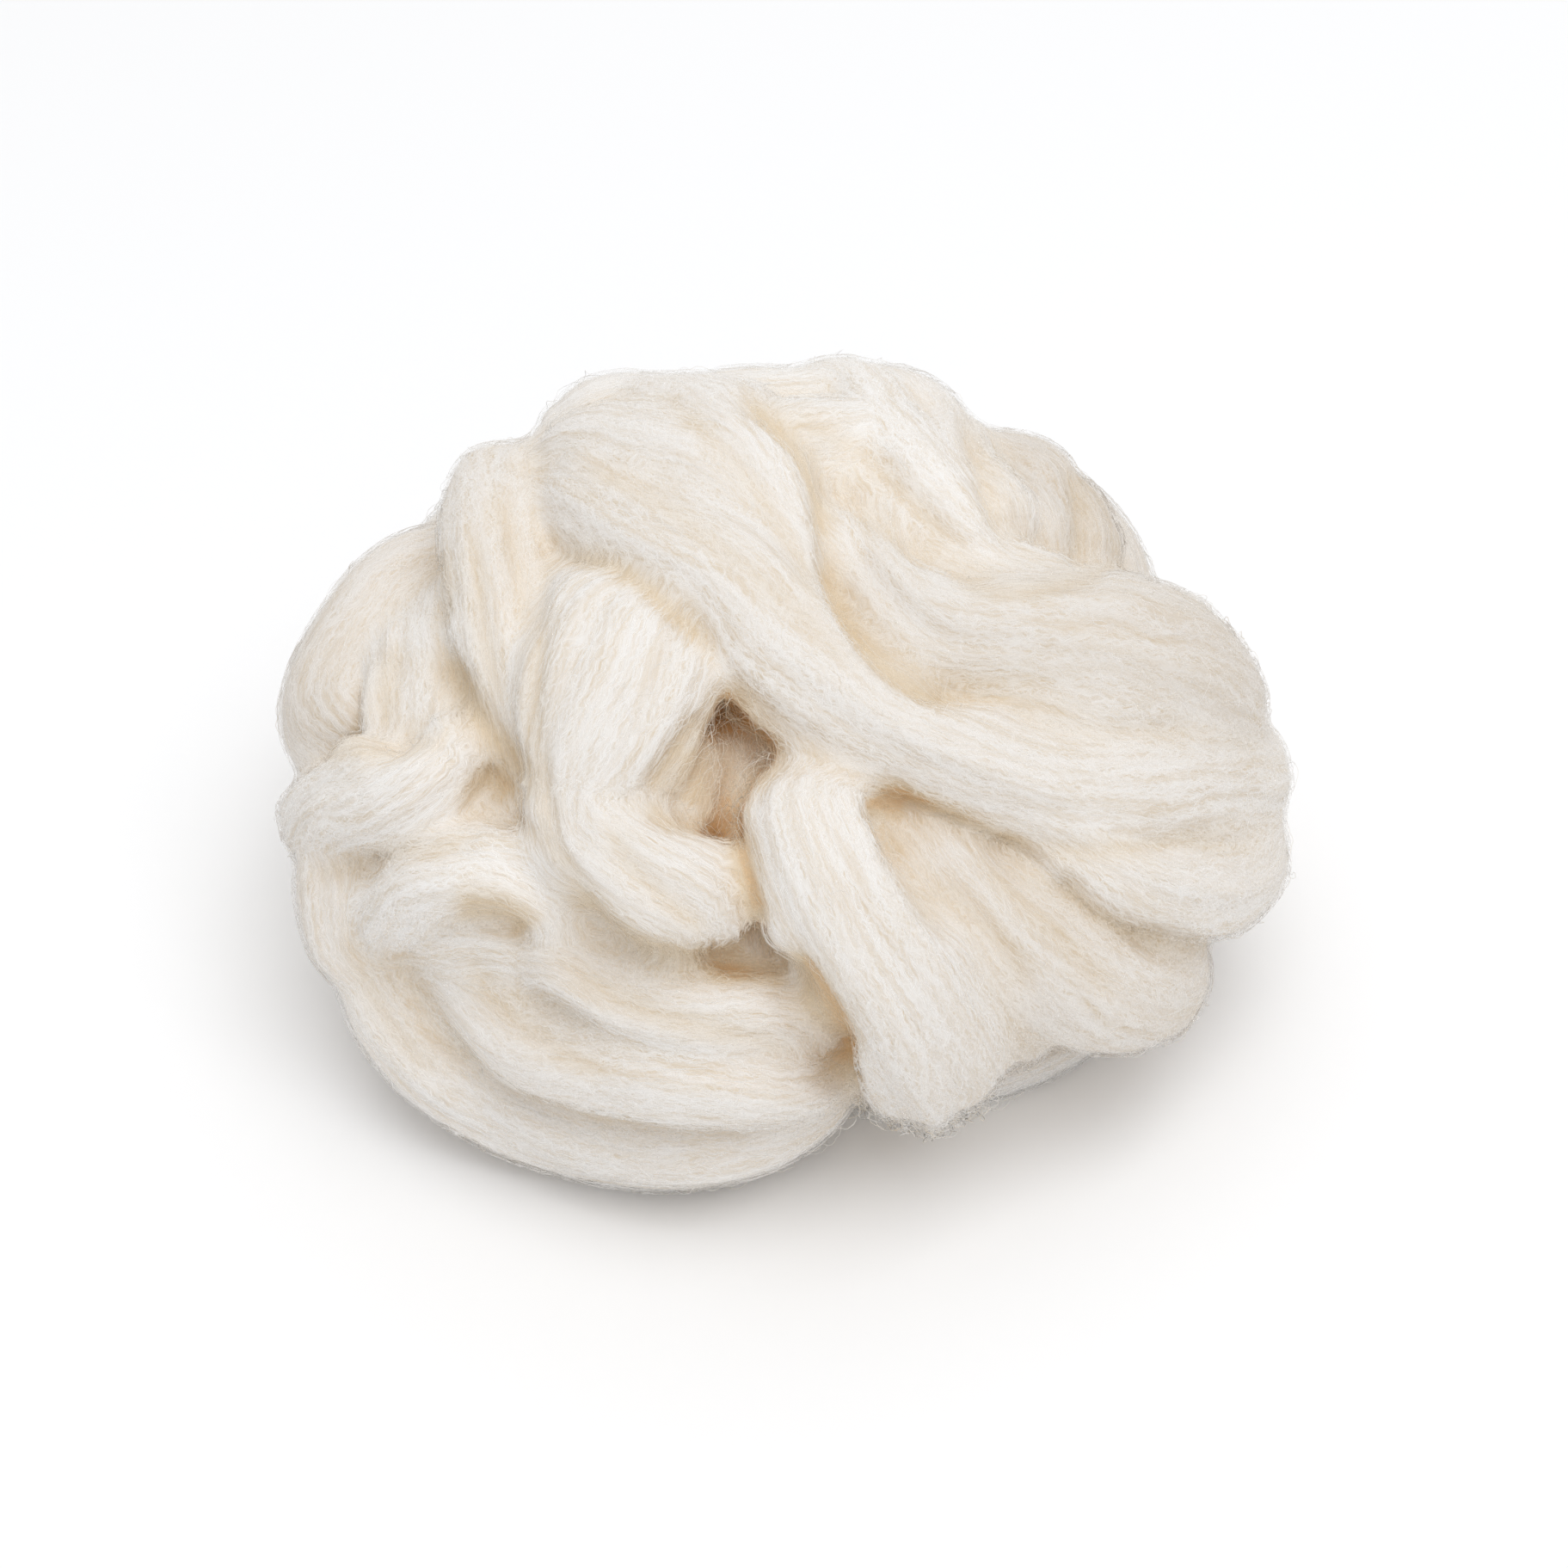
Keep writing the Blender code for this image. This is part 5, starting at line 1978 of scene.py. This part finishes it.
@dataclass
class Studio:
    """A pale floor, soft light from above and the camera."""

    view: FrontCamera
    floor_half: float = 3.0
    floor_colour: tuple[float, ...] = (0.955, 0.96, 0.97, 1.0)
    floor_roughness: float = 0.9
    sky_strength: float = 1.0
    low_sky: float = 0.50
    side_sky: float = 0.30
    glow: float = 0.60

    def floor(self) -> None:
        """A pale floor that the heap stands on."""
        half = self.floor_half * 1000
        corners = np.array(((-half, -half, 0), (half, -half, 0), (half, half, 0), (-half, half, 0)))
        floor = put_mesh("floor", corners, np.array(((0, 1, 2, 3),)))
        material = bpy.data.materials.new("floor")
        material.use_nodes = True
        shader = material.node_tree.nodes["Principled BSDF"]
        shader.inputs["Base Color"].default_value = self.floor_colour
        shader.inputs["Roughness"].default_value = self.floor_roughness
        shader.inputs["Specular IOR Level"].default_value = 0.0
        floor.data.materials.append(material)

    def lamp(self, name: str, place: tuple[float, float, float], size: float, power: float) -> None:
        """One square soft lamp, aimed at the heap.

        Args:
            name: its name.
            place: where it hangs, in metres.
            size: its side, in metres.
            power: its power, in watts.
        """
        data = bpy.data.lights.new(name, "AREA")
        data.size = size
        data.energy = power
        lamp = bpy.data.objects.new(name, data)
        lamp.location = place
        lamp.rotation_euler = (Vector(self.view.aim) * MM - Vector(place)).to_track_quat("-Z", "Y").to_euler()
        bpy.context.scene.collection.objects.link(lamp)

    def light(self) -> None:
        """A white sky that is dimmer low down and to both sides, and a large lamp overhead."""
        world = bpy.data.worlds.new("sky")
        world.use_nodes = True
        sky = world.node_tree.nodes["Background"]
        sky.inputs["Strength"].default_value = self.sky_strength
        add, join = world.node_tree.nodes.new, world.node_tree.links.new
        place = add("ShaderNodeTexCoord")
        split = add("ShaderNodeSeparateXYZ")
        ramp = add("ShaderNodeValToRGB")
        height = add("ShaderNodeMapRange")
        height.inputs["From Min"].default_value = -1.0
        ramp.color_ramp.elements[0].color = (self.glow, self.glow, self.glow, 1.0)
        ramp.color_ramp.elements.new(0.5).color = (self.low_sky, self.low_sky, self.low_sky, 1.0)
        ramp.color_ramp.elements[2].position = 0.9
        join(place.outputs["Generated"], split.inputs["Vector"])
        join(split.outputs["Z"], height.inputs["Value"])
        join(height.outputs["Result"], ramp.inputs["Fac"])
        aside = add("ShaderNodeMath")
        aside.operation = "POWER"
        aside.inputs[1].default_value = 2.0
        dimmed = add("ShaderNodeMix")
        dimmed.data_type = "RGBA"
        dimmed.inputs[7].default_value = (self.side_sky, self.side_sky, self.side_sky, 1.0)
        join(split.outputs["X"], aside.inputs[0])
        join(aside.outputs["Value"], dimmed.inputs[0])
        join(ramp.outputs["Color"], dimmed.inputs[6])
        join(dimmed.outputs[2], sky.inputs["Color"])
        bpy.context.scene.world = world
        self.lamp("overhead", place=(0.42, -0.68, 2.25), size=1.7, power=21.5)

    def build(self) -> None:
        """Sets up the whole studio and plain display colours."""
        self.view.add()
        self.floor()
        self.light()
        bpy.context.scene.view_settings.view_transform = "Standard"


@dataclass
class WoolRoving:
    """The whole heap: the fused folds, the combed fibres on them, the strays and the frayed end."""

    view: FrontCamera
    node: str = "roving"
    body: str = "root"
    slot: str = "wool"

    def build(self) -> list[bpy.types.Object]:
        """Builds and dresses every piece.

        Returns:
            All the pieces.
        """
        pieces, surface = WoolBody(roving_folds(), RopeWool(), self.view).build()
        fibre = FibreWool().material()
        layers = (
            FibreLayer(
                Lay.COMBED, count=3000, rings=9, step_mm=(2.0, 3.2), thickness=(0.12, 0.22),
                lift=(0.10, 0.50), crimp=(0.15, 0.60), crimp_mm=(14.0, 30.0), turn_deg=6.0, seed=11,
            ),
            FibreLayer(
                Lay.CRIMPED, count=2600, rings=12, step_mm=(0.7, 1.0), thickness=(0.10, 0.18),
                lift=(0.10, 0.60), crimp=(0.15, 0.35), crimp_mm=(3.2, 5.0), turn_deg=14.0, seed=14,
            ),
            FibreLayer(
                Lay.STRAY, count=2500, rings=12, step_mm=(0.7, 1.3), thickness=(0.07, 0.12),
                lift=(0.6, 2.2), crimp=(0.3, 0.8), crimp_mm=(4.0, 7.0), turn_deg=40.0, seed=12,
            ),
            FibreLayer(
                Lay.BRIDGING, count=180, rings=14, step_mm=(0.8, 1.5), thickness=(0.07, 0.11),
                lift=(1.5, 5.0), crimp=(0.3, 0.9), crimp_mm=(3.5, 6.0), turn_deg=35.0, seed=15,
                around=(-12.0, -46.0, 91.0), shade_darkening=0.55,
            ),
            FibreLayer(
                Lay.FRAYED, count=400, rings=14, step_mm=(0.6, 1.0), thickness=(0.10, 0.18),
                lift=(1.0, 4.0), crimp=(0.4, 0.9), crimp_mm=(3.0, 4.5), turn_deg=30.0, seed=13,
                around=(32.0, -74.0, 12.0),
            ),
        )
        for layer in layers:
            pieces += layer.build(surface, fibre)
        return pieces

    def ride(self, pieces: list[bpy.types.Object]) -> None:
        """Attaches every piece to its body, and hides the imported part that they stand for.

        Args:
            pieces: all the pieces.
        """
        for piece in pieces:
            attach(piece, self.body)
            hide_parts(self.node)
            LOG.info("%s: %d faces", piece.name, len(piece.data.polygons))


def main() -> None:
    """Loads the frame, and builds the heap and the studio."""
    logging.basicConfig(level=logging.INFO, format="%(name)s: %(message)s")
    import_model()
    view = FrontCamera()
    roving = WoolRoving(view)
    roving.ride(roving.build())
    Studio(view).build()


if __name__ == "__main__":
    main()
